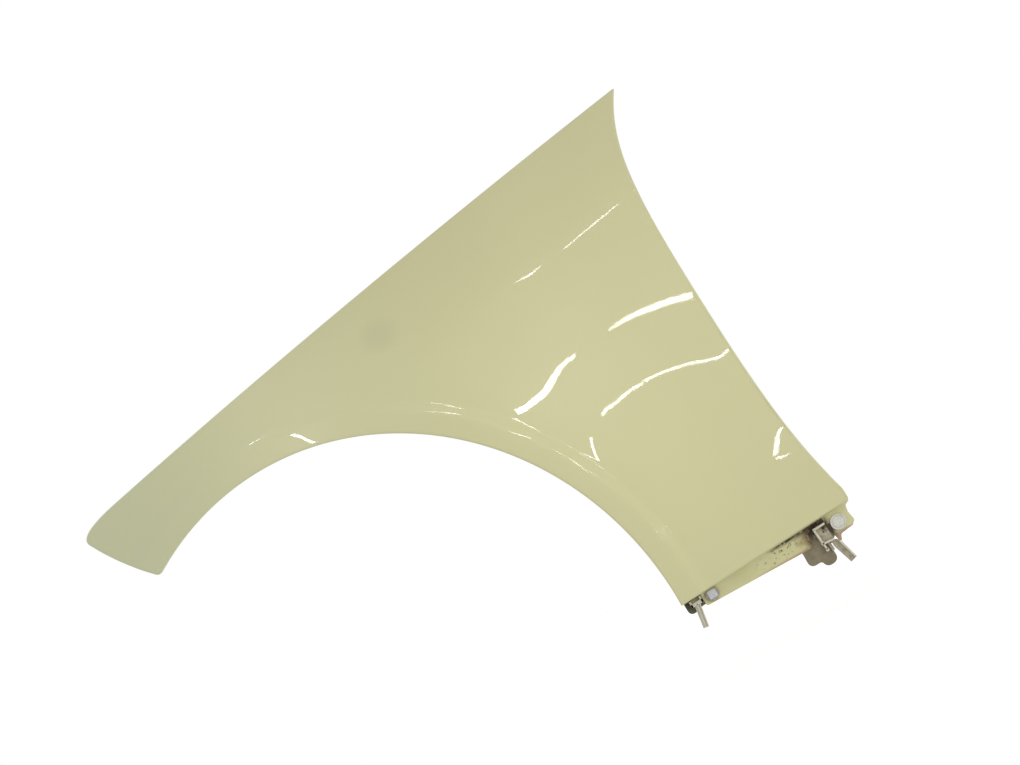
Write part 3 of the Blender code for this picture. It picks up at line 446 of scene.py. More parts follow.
def cleaned(obj, merge=1e-7):
    """Welds shared borders and makes the faces agree."""
    work = bmesh.new()
    work.from_mesh(obj.data)
    bmesh.ops.remove_doubles(work, verts=work.verts, dist=merge)
    bmesh.ops.recalc_face_normals(work, faces=work.faces)
    work.to_mesh(obj.data)
    work.free()
    return obj


def applied(obj):
    """The object with its modifiers worked into the mesh."""
    graph = bpy.context.evaluated_depsgraph_get()
    mesh = bpy.data.meshes.new_from_object(obj.evaluated_get(graph))
    obj.modifiers.clear()
    obj.data = mesh
    return obj


print("mesh helpers ready")

# %% [markdown]
# ## Slabs, rods and Booleans
# The cutters are closed prisms and round rods. Exact Booleans trim the flanges with them and drill
# every hole. The same slabs later build the small plates and clips.

# %% Slabs, rods and Booleans
ARC_STEP, ROD_SIDES = math.pi / 18, 32


def rounded(points, radii):
    """The polygon with each corner replaced by an arc of its radius."""
    points = np.array(points, float)
    out = []
    for k, radius in enumerate(radii):
        before, here, after = points[k - 1], points[k], points[(k + 1) % len(points)]
        if not radius:
            out.append(here)
            continue
        u, v = before - here, after - here
        u, v = u / np.hypot(*u), v / np.hypot(*v)
        half = math.acos(np.clip(u @ v, -1, 1)) / 2
        centre = here + (u + v) / np.hypot(*(u + v)) * radius / math.sin(half)
        ends = here + u * radius / math.tan(half), here + v * radius / math.tan(half)
        a, b = (math.atan2(*(end - centre)[::-1]) for end in ends)
        b += 2 * math.pi * round((a - b) / (2 * math.pi))
        turns = np.linspace(a, b, max(2, math.ceil(abs(b - a) / ARC_STEP)) + 1)
        out.extend(centre + radius * np.array([math.cos(t), math.sin(t)]) for t in turns)
    return np.array(out)


SIDE_VIEW, PLAN_VIEW, END_VIEW = (0, 2, 1), (0, 1, 2), (2, 1, 0)


def prism(name, polygon, near, far, view=SIDE_VIEW):
    """A slab of a polygon between two levels; view says which axes u, v and the level are."""
    count = len(polygon)
    flat = np.column_stack([np.tile(polygon, (2, 1)), np.repeat([near, far], count)])
    points = np.empty_like(flat)
    points[:, list(view)] = flat
    faces = [list(range(count)), list(range(count, 2 * count))[::-1]]
    faces += [[k, (k + 1) % count, count + (k + 1) % count, count + k] for k in range(count)]
    return cleaned(mesh_object(name, points, faces))


def rod(name, centre, axis, radius, length):
    """A straight round rod about its centre."""
    axis = np.array(axis, float) / np.linalg.norm(axis)
    u = np.cross(axis, np.eye(3)[np.argmin(abs(axis))])
    u /= np.linalg.norm(u)
    angle = np.arange(ROD_SIDES) * 2 * math.pi / ROD_SIDES
    circle = radius * (np.cos(angle)[:, None] * u + np.sin(angle)[:, None] * np.cross(axis, u))
    points = np.vstack([circle - axis * length / 2, circle + axis * length / 2]) + centre
    faces = grid_faces(2, ROD_SIDES, 0, close=True).tolist()
    faces += [list(range(ROD_SIDES)), list(range(ROD_SIDES, 2 * ROD_SIDES))[::-1]]
    return cleaned(mesh_object(name, points, faces))


def joined(name, pieces):
    """Several closed pieces as one object."""
    points, faces = [], []
    for piece in pieces:
        start = len(points)
        points += [tuple(v.co) for v in piece.data.vertices]
        faces += [[start + k for k in p.vertices] for p in piece.data.polygons]
        bpy.data.objects.remove(piece)
    return mesh_object(name, points, faces)


def boolean(obj, other):
    """Cuts the other solid away with an exact Boolean, worked in at once, and removes it."""
    modifier = obj.modifiers.new("cut", "BOOLEAN")
    modifier.operation = "DIFFERENCE"
    modifier.solver = "EXACT"
    modifier.object = other
    applied(obj)
    bpy.data.objects.remove(other)
    return obj


def at(row, where, key=0):
    """The point of a row of points where its coordinate key has this value."""
    return np.array([np.interp(where, row[:, key], row[:, k]) for k in range(3)])


def shared(corner, length, height, shares):
    """Plan points at these shares of a length and a height from a corner."""
    return np.array(corner) + np.array(shares) * (length, height)


print("helpers ready")

# %% [markdown]
# ## Trimming the flanges
# A press first forms the sheet and a second tool then trims it and punches the holes. The cutters
# here stand for that second tool: they leave bolt pads along the hood and the door edge, the shape
# of the sill flange with its rear tab, and the holes. The photo hides the pads, the door tabs and
# the lip holes, so they stand where such panels usually have them.

# %% Places of the pads, tabs and plugs
PADS = NOSE_X + HOOD_LENGTH * np.array([0.1, 0.28, 0.48, 0.68, 0.86])
TABS = SILL_Z + (hood_z(TIP_X) - SILL_Z) * np.array([0.266, 0.765])
TAB_SHARES = [(0, 0), (0.008, -0.42), (0.12, -1), (0.19, -1), (0.27, -0.81),
              (0.74, -0.765), (0.88, -0.64), (0.83, -0.285), (0.875, -0.065), (1, 0)]
REAR_PLUG = np.array([HEEL_X - 0.0262, SILL_Z - 0.0161])
FRONT_PLUG = np.array([FOOT_X + 0.0393, SILL_Z - 0.0081])
print(len(PADS), "pads along the hood,", len(TABS), "tabs along the door edge")

# %% [markdown]
# ## Cutters of the flange edges
# One long comb-shaped slab trims a whole flange at once and leaves its tabs standing. It follows
# the flange in short steps, because the flange itself is curved.

# %% Cutters of the flange edges
TAB_HALF, TAB_ROOT, TAB_ROUND, CUTTER_STEP = 0.018, 0.008, 0.007, 0.006
HOOD_BETWEEN, HOOD_PAD_DEEP, HOOD_CUT_PAST = 0.009, 0.0295, 0.008
DOOR_LIP, DOOR_TAB_DEEP = 0.012, 0.0275
FLANGE_TOP, FLANGE_BOTTOM, FLANGE_ROUND, SILL_STEP = 0.0012, 0.08, 0.003, 0.0085
FLANGE_START, FLANGE_END = FOOT_X + 0.0262, HEEL_X - 0.0668
FLANGE_START_DROP, FLANGE_END_DROP, FOOT_PAST = 0.0177, 0.0269, 0.008
TAB_START, TAB_LENGTH, TAB_DEPTH, TAB_CORNER = HEEL_X - 0.0413, 0.0385, 0.0364, 0.004
TAB_CORNER_SHARES = [0, 0.5, 0.25, 0.25, 1, 0.75, 1, 1.5, 0.75, 0]


def tabbed_edge(row, key, tabs, base, deep, level, view):
    """A cutter that leaves a flange base wide, with rounded tabs deep wide at these places."""
    low, high = row[0, key] - TAB_HALF, row[-1, key] + TAB_HALF
    line, radii = [(low, 3 * deep), (low, base)], [0, 0]
    for tab in tabs:
        start, end = tab - TAB_HALF, tab + TAB_HALF
        line += [(start, base), (start, deep), (end, deep), (end, base)]
        radii += [TAB_ROOT, TAB_ROUND, TAB_ROUND, TAB_ROOT]
    line = rounded(line + [(high, base), (high, 3 * deep)], radii + [0, 0])
    dense = [line[:1]]
    for a, b in zip(line, line[1:]):
        count = max(1, math.ceil(abs(b[0] - a[0]) / CUTTER_STEP))
        dense.append(a + (b - a) * np.arange(1, count + 1)[:, None] / count)
    dense = np.vstack(dense)
    polygon = [(u, at(row, u, key)[1] + v) for u, v in dense]
    return prism("edge_cutter", polygon, *level, view)


def sill_cutter():
    """Everything below the rolled sill edge that is not the flange or the rear tab."""
    top, deep = SILL_Z - FLANGE_TOP, SILL_Z - FLANGE_BOTTOM
    front_x = FOOT_X - FOOT_PAST
    tab = shared((TAB_START, top), TAB_LENGTH, TAB_DEPTH, TAB_SHARES)
    edge = [(front_x, deep), (front_x, top), (FLANGE_START, top),
            (FLANGE_START, SILL_Z - FLANGE_START_DROP), (FLANGE_END, SILL_Z - FLANGE_END_DROP),
            (FLANGE_END, top), *tab, (TIP_X, top), (TIP_X, deep)]
    corners = TAB_CORNER * np.array(TAB_CORNER_SHARES)
    polygon = rounded(edge, [0, 0, 0, *[FLANGE_ROUND] * 3, *corners, 0, 0])
    return prism("sill_cutter", polygon, FLANGE_Y - BEND, FLANGE_Y + SILL_STEP)


print("sill flange from", round(FLANGE_START, 3), "to", round(FLANGE_END, 3), "m")

# %% [markdown]
# ## Cutters of the holes
# Bolts go through the pads and tabs, one pad has a slot so that the panel can be shifted before it
# is tightened, and small holes in the lips take the screws of the wheel-arch liner.

# %% Cutters of the holes
HOLE_RADIUS, SLOT_HALF, HOLE_ROUND, HOLE_INBOARD, HOLE_LENGTH = 0.004, 0.003, 0.0039, 0.018, 0.016
LIP_HOLE_RADIUS, LIP_HOLE_INBOARD, LIP_HOLE_DEGREES = 0.003, 0.01, (104, 78, 52, 26, 4)
FRONT_HOLE_RADIUS, FRONT_HOLE_INBOARD, FRONT_HOLE_SHARES = 0.0035, 0.0105, (0.3, 0.72)
PLUG_HOLE_RADIUS = 0.005
PAD_IS_SLOT = (0, 1, 0, 0, 0)
SQUARE = np.array([(-1, -1), (1, -1), (1, 1), (-1, 1)])


def hole_cutters():
    """One object with a rod or slot for every hole in the flanges."""
    pieces = []
    for x, slot in zip(PADS, PAD_IS_SLOT):
        u, v, w = at(SHELF, x) + [0, HOLE_INBOARD, 0]
        corners = (u, v) + SQUARE * (HOLE_RADIUS + slot * SLOT_HALF, HOLE_RADIUS)
        levels = w - HOLE_LENGTH, w + HOLE_LENGTH
        pieces.append(prism("hole", rounded(corners, [HOLE_ROUND] * 4), *levels, PLAN_VIEW))
    for z in TABS:
        centre = at(DOOR_ROW, z, 2) + [0, HOLE_INBOARD, 0]
        pieces.append(rod("hole", centre, (1, 0, 0), HOLE_RADIUS, HOLE_LENGTH))
    for degrees in LIP_HOLE_DEGREES:
        angle = math.radians(degrees)
        x, z = arch_point(angle)
        axis = (ARCH_RZ * math.cos(angle), 0, ARCH_RX * math.sin(angle))
        centre = (x, skin_depth(x, z) + LIP_HOLE_INBOARD, z)
        pieces.append(rod("hole", centre, axis, LIP_HOLE_RADIUS, HOLE_LENGTH))
    for share in FRONT_HOLE_SHARES:
        below, (x, z), above = along(FRONT, [share - 0.02, share, share + 0.02])
        axis = (above[1] - below[1], 0, below[0] - above[0])
        centre = (x, skin_depth(x, z) + FRONT_HOLE_INBOARD, z)
        pieces.append(rod("hole", centre, axis, FRONT_HOLE_RADIUS, HOLE_LENGTH))
    for x, z in (REAR_PLUG, FRONT_PLUG):
        pieces.append(rod("hole", (x, FLANGE_Y, z), (0, 1, 0), PLUG_HOLE_RADIUS, HOLE_LENGTH))
    return joined("holes", pieces)


print("holes for", len(PADS), "pads,", len(TABS), "tabs,", len(LIP_HOLE_DEGREES), "lip screws")

# %% [markdown]
# ## Handing a piece over
# Every finished piece moves from the arch centre to the frame's origin, rides on the one body and
# hides the solid that it stands for. Its faces are shaded smooth, apart from the sharp edges.

# %% Placing and smoothing


def placed(obj, slot, *nodes):
    obj.data.transform(Matrix.Translation(-ORIGIN))
    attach(obj, "root")
    if nodes:
        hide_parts(*nodes)
    return obj


def smoothed(obj, degrees=32):
    """Smooth shading that keeps edges sharper than this angle."""
    obj.data.shade_smooth()
    obj.data.set_sharp_from_angle(angle=math.radians(degrees))
    return obj


print("origin at", ORIGIN.tolist())

# %% [markdown]
# ## The panel
# The real panel is one sheet of steel, drawn in a press. Here the open sheet is welded, Solidify
# gives it its wall towards the inside, and the cutters then trim it, one after the other. Even
# offset stays off, because with it this sheet came out as a solid that was inside out.

# %% The panel
panel = cleaned(mesh_object("panel_skin", POINTS, FACES), 1e-5)
if sum(p.normal.y * p.area for p in panel.data.polygons) > 0:
    panel.data.flip_normals()
solid = panel.modifiers.new("sheet", "SOLIDIFY")
solid.thickness = SHEET
solid.offset = -1
solid.use_even_offset = False
applied(panel)
hood_level = SHELF[:, 2].min() - HOOD_CUT_PAST, SHELF[:, 2].max() + HOOD_CUT_PAST
door_level = DOOR_X - DOOR_TAB, TIP_X + DOOR_TAB
boolean(panel, sill_cutter())
boolean(panel, tabbed_edge(SHELF, 0, PADS, HOOD_BETWEEN, HOOD_PAD_DEEP, hood_level, PLAN_VIEW))
boolean(panel, tabbed_edge(DOOR_ROW, 2, TABS, DOOR_LIP, DOOR_TAB_DEEP, door_level, END_VIEW))
boolean(panel, hole_cutters())
smoothed(panel)
placed(panel, "cream_paint", "fender_panel")
print("panel:", len(panel.data.polygons), "faces")

# %% [markdown]
# ## Plates, clips and plugs at the sill
# The small pieces hang at the lower edge, where the photo shows brackets behind the flange and two
# moulded clips before them. Each is put together from slabs and turned bodies in the same places as
# the solids, then every edge gets a small bevel, because a real moulding has no sharp edge and a
# bevel catches a thin line of light.

# %% Helpers for slabs and turned bodies
BACK = FLANGE_Y + SHEET
BASE, WALL, CLIP_WALL = BACK - 0.0018, BACK - 0.0065, 0.0026
TURNED_SIDES = 96


def softened(obj, width=0.0004, segments=2):
    """A small rounded bevel along every edge sharper than thirty degrees."""
    bevel = obj.modifiers.new("bevel", "BEVEL")
    bevel.width, bevel.segments = width, segments
    bevel.limit_method = "ANGLE"
    return applied(obj)


def strip(points, widths):
    """The polygon of a strip along these points: each point plus and less half its width."""
    points, widths = np.array(points, float), np.array(widths, float)
    way = np.diff(points, axis=0)
    way /= np.hypot(*way.T)[:, None]
    mean = np.vstack([way[:1], way[:-1] + way[1:], way[-1:]])
    mean /= np.hypot(*mean.T)[:, None]
    side = np.stack([-mean[:, 1], mean[:, 0]], -1) * widths[:, None] / 2
    return np.vstack([points + side, (points - side)[::-1]])


def box(low, high):
    """The four corners of an upright rectangle."""
    return np.array([low, (high[0], low[1]), high, (low[0], high[1])])


def turned(name, profile, centre):
    """A body of revolution about y: each radius times cosine and sine of the angle."""
    sides = TURNED_SIDES
    angle = np.arange(sides) * 2 * math.pi / sides
    inner = np.array([p for p in profile if p[0] > 0])
    radius, level = inner[:, :1], inner[:, 1:]
    points = np.stack([radius * np.cos(angle), level + 0 * angle, radius * np.sin(angle)], -1)
    poles = [(0, profile[0][1], 0), (0, profile[-1][1], 0)]
    points = np.vstack([points.reshape(-1, 3), poles]) + (centre[0], FLANGE_Y, centre[1])
    faces = grid_faces(len(inner), sides, 0, close=True).tolist()
    for row, pole in ((0, -2), (len(inner) - 1, -1)):
        ring = [row * sides + k for k in range(sides)]
        faces += [[ring[k], ring[(k + 1) % sides], len(points) + pole] for k in range(sides)]
    return cleaned(mesh_object(name, points, faces))


def assembled(name, slot, pieces, node, width=0.0004):
    """Bevels the pieces, joins them and puts them in place of their solid."""
    whole = joined(name, [softened(piece, width) for piece in pieces])
    return placed(smoothed(whole, 40), slot, node)


print("clip back at", round(BACK, 4), "m, walls stand", round(BACK - WALL, 4), "m proud")

# %% [markdown]
# ## Brackets
# Two thin plates lie behind the flange, and the photo shows only the parts that stand out below
# and beside it. A plate is a flat outline with rounded corners, pulled out by its sheet, and no
# richer tool is needed. The outline's points are shares of the plate's length and height.

# %% Brackets
BRACKET_SHEET = 0.0015
REAR_BRACKET = np.array([HEEL_X - 0.0853, SILL_Z + 0.0154])
REAR_BRACKET_SIZE, REAR_BRACKET_LOBE = (0.047, 0.072), 0.0078
REAR_BRACKET_SHARES = [(0.02, 0), (1, 0), (1, -0.61), (0.76, -0.71), (0.76, -1), (0.405, -1),
                       (0.34, -0.87), (0, -0.87), (0.02, -0.585)]
REAR_BRACKET_ROUND_SHARES = [0.4, 0.4, 0.5, 0.4, 1, 1, 0.5, 0.95, 0.4]
FRONT_BRACKET = np.array([FOOT_X + 0.0025, SILL_Z + 0.0134])
FRONT_BRACKET_SIZE, FRONT_BRACKET_CORNER = (0.0277, 0.0308), 0.006
FRONT_BRACKET_SHARES = [(0, 0), (1, 0), (1, -0.91), (0.62, -0.925), (0.51, -1), (0, -1)]
FRONT_BRACKET_ROUND_SHARES = [0.35, 0.35, 0.35, 0.5, 0.35, 1]


def bracket(name, slot, node, outline, radii):
    """A flat plate behind the flange, with the outline's corners rounded by these radii."""
    near = BACK + GAP
    plate = prism("plate", rounded(outline, radii), near, near + BRACKET_SHEET)
    return assembled(name, slot, [plate], node)


rear_bracket = bracket("rear_bracket_fine", "brown_primer", "rear_sill_bracket",
                       shared(REAR_BRACKET, *REAR_BRACKET_SIZE, REAR_BRACKET_SHARES),
                       REAR_BRACKET_LOBE * np.array(REAR_BRACKET_ROUND_SHARES))
# Its near-black finish is painted shade.
front_bracket = bracket("front_bracket_fine", "dark_primer", "front_sill_bracket",
                        shared(FRONT_BRACKET, *FRONT_BRACKET_SIZE, FRONT_BRACKET_SHARES),
                        FRONT_BRACKET_CORNER * np.array(FRONT_BRACKET_ROUND_SHARES))
print("rear bracket:", len(rear_bracket.data.polygons), "faces")
print("front bracket:", len(front_bracket.data.polygons), "faces")

# %% [markdown]
# ## Rear clip
# A moulded clip has walls of one thickness, so that it cools evenly. This one is a square base
# with two raised walls and a rod, and a flat arm that hangs from it. Strips along short paths give
# such walls, and overlapping them costs nothing, because nobody sees inside.

# %% Rear clip
REAR_CLIP, REAR_CLIP_SIZE = np.array([HEEL_X - 0.0586, SILL_Z - 0.0074]), (0.0168, 0.0242)
ROD_END_SHARES, CLIP_HOLE_SHARES = (0.18, -1.27), (0.6, -0.4)
ARM_SHARES, ARM_WIDTHS = [(0.79, -0.94), (1.05, -1.25), (1.465, -2.39)], [CLIP_WALL, 0.0114, 0.0094]
STUB_SHARES, STUB_WIDTH = [(0.52, -0.96), (0.57, -1.47)], 0.0036
KNOB_HALF, KNOB_ROUND = 0.0022, 0.0021
CLIP_HOLE_RADIUS, CLIP_HOLE_LENGTH = 0.0011, 0.0065
RIDGE_ASIDE, RIDGE_NARROWING, RIDGE_SHORT, RIDGE_WIDTHS = 0.0042, 0.9, 0.0008, [0.0026, 0.0022]
ARM_PROUD, RIDGE_PROUD, RIDGE_FOOT = 0.0016, 0.0014, 0.0008
CLIP_BEVEL = 0.0003


def aside_of(path, distance):
    """Unit direction from the first point to the last, and this distance to its left."""
    way = (path[-1] - path[0]) / np.hypot(*(path[-1] - path[0]))
    return way, distance * np.array([-way[1], way[0]])


left, top = REAR_CLIP
right, low = left + REAR_CLIP_SIZE[0], top - REAR_CLIP_SIZE[1]
rod_end, hole, *path = shared(REAR_CLIP, *REAR_CLIP_SIZE,
                              [ROD_END_SHARES, CLIP_HOLE_SHARES, *ARM_SHARES])
stub = shared(REAR_CLIP, *REAR_CLIP_SIZE, STUB_SHARES)
way, aside = aside_of(path[1:], RIDGE_ASIDE)
ridge = [path[1] + aside, path[-1] + RIDGE_NARROWING * aside - RIDGE_SHORT * way]
rod_start = (left + CLIP_WALL / 2, top - CLIP_WALL / 2)
inside = top - CLIP_WALL
side = [(low, BACK), (low, BASE), (inside, BASE), (inside, WALL), (top, WALL), (top, BACK)]
base = boolean(prism("base", side, left, right, END_VIEW),
               rod("clip_hole", (hole[0], BACK, hole[1]), (0, 1, 0), CLIP_HOLE_RADIUS,
                   CLIP_HOLE_LENGTH))
pieces = [
    base,
    prism("upright", strip([rod_start, rod_end], [CLIP_WALL] * 2), WALL, BASE),
    prism("knob", rounded(rod_end + KNOB_HALF * SQUARE, [KNOB_ROUND] * 4), WALL, BASE),
    prism("lower", strip([(left, low + CLIP_WALL), (right, low + GAP)], [CLIP_WALL] * 2),
          WALL, BACK),
    prism("stub", strip(stub, [STUB_WIDTH] * 2), BASE, BACK),
    prism("arm", strip(path, ARM_WIDTHS), BASE - ARM_PROUD, FLANGE_Y - GAP),
    prism("ridge", strip(ridge, RIDGE_WIDTHS), WALL - RIDGE_PROUD, BASE - RIDGE_FOOT),
]
rear_clip = assembled("rear_clip_fine", "ivory_plastic", pieces, "rear_sill_clip", CLIP_BEVEL)
print("rear clip:", len(rear_clip.data.polygons), "faces")

# %% [markdown]
# ## Front clip
# The smaller clip has a cross bar with two end walls and one leg, with a rib along its middle and
# a raised edge. It is made in the same way as the rear one, so the two look like one family.

# %% Front clip
FRONT_CLIP = np.array([FOOT_X + 0.0089, SILL_Z - 0.0018])
FRONT_CLIP_SIZE, BAR_HIGH = (0.0165, 0.0088), 0.0047
LEG_SHARES, LEG_WIDTHS, LEG_THICK = [(0.5, -0.77), (0.145, -4.26)], [0.0080, 0.0074], 0.0042
RIB_SHARE, RIB_WIDTH, EDGE_ASIDE, EDGE_WIDTH, EDGE_LOW = 0.1, 0.0018, 0.0031, 0.0014, 0.0006
left, up = FRONT_CLIP
right, low = left + FRONT_CLIP_SIZE[0], up - FRONT_CLIP_SIZE[1]
top = low + BAR_HIGH
path = shared(FRONT_CLIP, *FRONT_CLIP_SIZE, LEG_SHARES)
way, aside = aside_of(path, EDGE_ASIDE)
rib = [path[0] - RIB_SHARE * aside, path[1] - RIB_SHARE * aside]
raised_edge = [path[0] + aside, path[1] + RIDGE_NARROWING * aside]
side = [(low, BACK), (low, WALL), (top, WALL), (top, BASE), (up, BASE), (up, BACK)]
pieces = [
    prism("bar", side, left, right, END_VIEW),
    prism("left_end", box((left, low), (left + CLIP_WALL, up)), WALL, BACK),
    prism("right_end", box((right - CLIP_WALL, low), (right, up)), WALL, BACK),
    prism("leg", strip(path, LEG_WIDTHS), BACK - LEG_THICK, BACK - GAP),
    prism("rib", strip(rib, [RIB_WIDTH] * 2), WALL, BASE),
    prism("edge", strip(raised_edge, [EDGE_WIDTH] * 2), WALL + EDGE_LOW, BASE),
]
front_clip = assembled("front_clip_fine", "ivory_plastic", pieces, "front_sill_clip", CLIP_BEVEL)
print("front clip:", len(front_clip.data.polygons), "faces")

# %% [markdown]
# ## Plugs
# Both plugs are round and sit in a hole of the flange, so each is a profile turned about its own
# axis, with a stem behind. The front one is cut off straight above, where it meets the skin's
# lower edge, and carries a square core.

# %% Plugs
STEM_RADIUS, STEM_LENGTH = 0.0042, 0.004
BEAD_RADIUS, BEAD_CENTRE, BEAD_LEVEL, BEAD_STEPS = 0.0008, 0.0092, 0.0018, 9
DISC_PROFILE = [(0, -0.0020), (0.0061, -0.0020), (0.0068, -0.0018), (0.0072, -0.0010),
                (0.0082, -0.0010)]
RIM_RADIUS, RIM_LEVEL = 0.0098, 0.0012
PAD_PROFILE = [(0, -0.0026), (0.0086, -0.0024), (0.0091, -0.0020), (0.0093, -0.0014)]
PAD_TOP, PAD_CUT_HALF, PAD_CUT_HIGH, PAD_CUT_DEEP = 0.0029, 0.0186, 0.02, 0.01
CORE_HALF, CORE_TOP_SHARE, CORE_ROUND, CORE_NEAR, CORE_FAR = 0.0056, 0.9, 0.0022, 0.0034, 0.002


def stemmed(profile):
    """The profile led back to the flange and down a stem to the axis behind it."""
    rim = profile[-1][0]
    stem = [(STEM_RADIUS, -GAP), (STEM_RADIUS, STEM_LENGTH), (0, STEM_LENGTH)]
    return [*profile, (rim, -GAP), *stem]


angle = np.linspace(0, math.pi, BEAD_STEPS)
bead = [(BEAD_CENTRE - BEAD_RADIUS * math.cos(a), -BEAD_LEVEL - BEAD_RADIUS * math.sin(a))
        for a in angle]
rear_plug = turned("rear_plug_fine", stemmed([*DISC_PROFILE, *bead, (RIM_RADIUS, -RIM_LEVEL)]),
                   REAR_PLUG)
placed(smoothed(rear_plug, 50), "white_plastic", "rear_sill_plug")
front_plug = turned("pad", stemmed(PAD_PROFILE), FRONT_PLUG)
cut = FRONT_PLUG[0] - PAD_CUT_HALF, SILL_Z - PAD_TOP
above = box(cut, (cut[0] + 2 * PAD_CUT_HALF, cut[1] + PAD_CUT_HIGH))
boolean(front_plug, prism("cutter", above, FLANGE_Y - PAD_CUT_DEEP, FLANGE_Y + PAD_CUT_DEEP))
corners = np.column_stack([SQUARE[:, 0], [-1, -1, CORE_TOP_SHARE, CORE_TOP_SHARE]])
core = prism("core", rounded(FRONT_PLUG + CORE_HALF * corners, [CORE_ROUND] * 4),
             FLANGE_Y - CORE_NEAR, FLANGE_Y - CORE_FAR)
front_plug = joined("front_plug_fine", [front_plug, softened(core, CLIP_BEVEL)])
placed(smoothed(front_plug, 50), "grey_foam", "front_sill_plug")
print("plugs:", len(rear_plug.data.polygons), "and", len(front_plug.data.polygons), "faces")

# %% [markdown]
# ## Finishes
# The paint is a cream solid colour under a clear coat. Its colour drifts a little with a large soft
# noise, as old paint does, and a fine noise in the coat gives the faint orange peel of spray paint.
# Dirt and scuffs gather on the sill flange, which faces the road. Nodes are added through a few
# short helpers, so that each finish reads as a recipe.

# %% Node helpers


def material(name):
    """A new material, its node tree and its Principled shader."""
    mat = bpy.data.materials.new(name)
    mat.use_nodes = True
    return mat, mat.node_tree, mat.node_tree.nodes["Principled BSDF"]


def node(tree, kind, **inputs):
    """Adds a node and sets its sockets: numbers as values, sockets as links."""
    made = tree.nodes.new(kind)
    for key, value in inputs.items():
        socket = made.inputs[key.replace("_", " ")] if isinstance(key, str) else made.inputs[key]
        if isinstance(value, bpy.types.NodeSocket):
            tree.links.new(value, socket)
        else:
            socket.default_value = value
    return made


def mixed(tree, factor, a, b):
    """Mixes two colours by a factor socket."""
    mix = tree.nodes.new("ShaderNodeMix")
    mix.data_type = "RGBA"
    for socket, value in ((mix.inputs[0], factor), (mix.inputs[6], a), (mix.inputs[7], b)):
        if isinstance(value, bpy.types.NodeSocket):
            tree.links.new(value, socket)
        elif isinstance(value, (int, float)):
            socket.default_value = value
        else:
            socket.default_value = (*value, 1)
    return mix.outputs[2]


def noise(tree, coords, scale, detail=3.0, rough=0.55):
    """A noise texture in object coordinates."""
    made = node(tree, "ShaderNodeTexNoise", Vector=coords, Scale=scale, Detail=detail)
    made.inputs["Roughness"].default_value = rough
    return made.outputs[0]


def ramp(tree, value, low, high, to_low=0.0, to_high=1.0):
    """Maps a range of a value to another, clamped."""
    made = tree.nodes.new("ShaderNodeMapRange")
    tree.links.new(value, made.inputs[0])
    for k, number in enumerate((low, high, to_low, to_high), start=1):
        made.inputs[k].default_value = number
    return made.outputs[0]


def maths(tree, operation, a, b=0.0):
    """One math node on two sockets or numbers."""
    made = tree.nodes.new("ShaderNodeMath")
    made.operation = operation
    for socket, value in zip(made.inputs, (a, b)):
        if isinstance(value, bpy.types.NodeSocket):
            tree.links.new(value, socket)
        else:
            socket.default_value = value
    return made.outputs[0]


print("node helpers ready")

# %% [markdown]
# ## Masks for dirt and painted shade
# Dirt and painted shade have a place and a ragged edge, and a painted reflection has a place. A
# soft ellipse says where a mark lies, noise breaks its edge, and both read the piece's own
# coordinates, so the mark stays put from every side.

# %% Masks for dirt and painted shade


def spot(tree, coords, x, z, wide, high):
    """One at a place seen from the side, falling to 0 at an ellipse about it."""
    shift = np.array([x, 0, z]) - ORIGIN
    made = tree.nodes.new("ShaderNodeMapping")
    made.inputs["Location"].default_value = (-shift[0] / wide, 0, -shift[2] / high)
    made.inputs["Scale"].default_value = (1 / wide, 0, 1 / high)
    tree.links.new(coords, made.inputs["Vector"])
    length = tree.nodes.new("ShaderNodeVectorMath")
    length.operation = "LENGTH"
    tree.links.new(made.outputs[0], length.inputs[0])
    return ramp(tree, length.outputs["Value"], 1.0, 0.35)


def broken(tree, coords, mask, scale, low=0.35, high=0.6):
    """A mask broken up by noise, so that its edge is ragged."""
    return maths(tree, "MULTIPLY", mask, ramp(tree, noise(tree, coords, scale, 6.0), low, high))


def bumped(tree, shader, height, strength, distance=0.001, socket="Normal"):
    """Feeds a height into a bump on this normal socket."""
    bump = node(tree, "ShaderNodeBump", Height=height)
    bump.inputs["Strength"].default_value = strength
    bump.inputs["Distance"].default_value = distance
    # Dirt and scuffs gather on the sill flange, which faces the road, and painted shade darkens it
    # just under the skin's edge. The cream also carries painted light and painted reflections.
    # Nodes are added through a few short helpers, so that each finish reads as a recipe.
    tree.links.new(bump.outputs[0], shader.inputs[socket])


print("masks ready")

# %% [markdown]
# ## Cream paint
# The clean colour is mixed from two tones by a soft noise. Towards the bottom it is painted
# lighter, which is painted light, and at the nose it turns greyer and greener, a painted reflection
# of darker surroundings. One dark patch is the painted reflection of the camera. A lacquered
# surface has a colour below and a clear sharp coat above, so the shader's coat carries the
# highlights.

# %% Clean cream paint
CREAM_ABOVE = (0.553, 0.531, 0.279), (0.582, 0.559, 0.295)
# The lower tones are a lighter copy of the cream, which is painted light.
CREAM_PAINTED_LIGHT_BELOW = (0.602, 0.579, 0.303), (0.636, 0.610, 0.321)
# The nose tone is a painted reflection, greyer and greener; the grey is the painted reflection of
# the camera.
NOSE_PAINTED_REFLECTION, CAMERA_REFLECTION_GREY = (0.592, 0.602, 0.352), (0.50, 0.48, 0.27)
# Where the camera's painted reflection darkens the panel: x, z, width and height, and its share.
CAMERA_REFLECTION_SPOT, CAMERA_REFLECTION_SHARE = (0.2305, 0.4299, 0.03, 0.024), 0.55


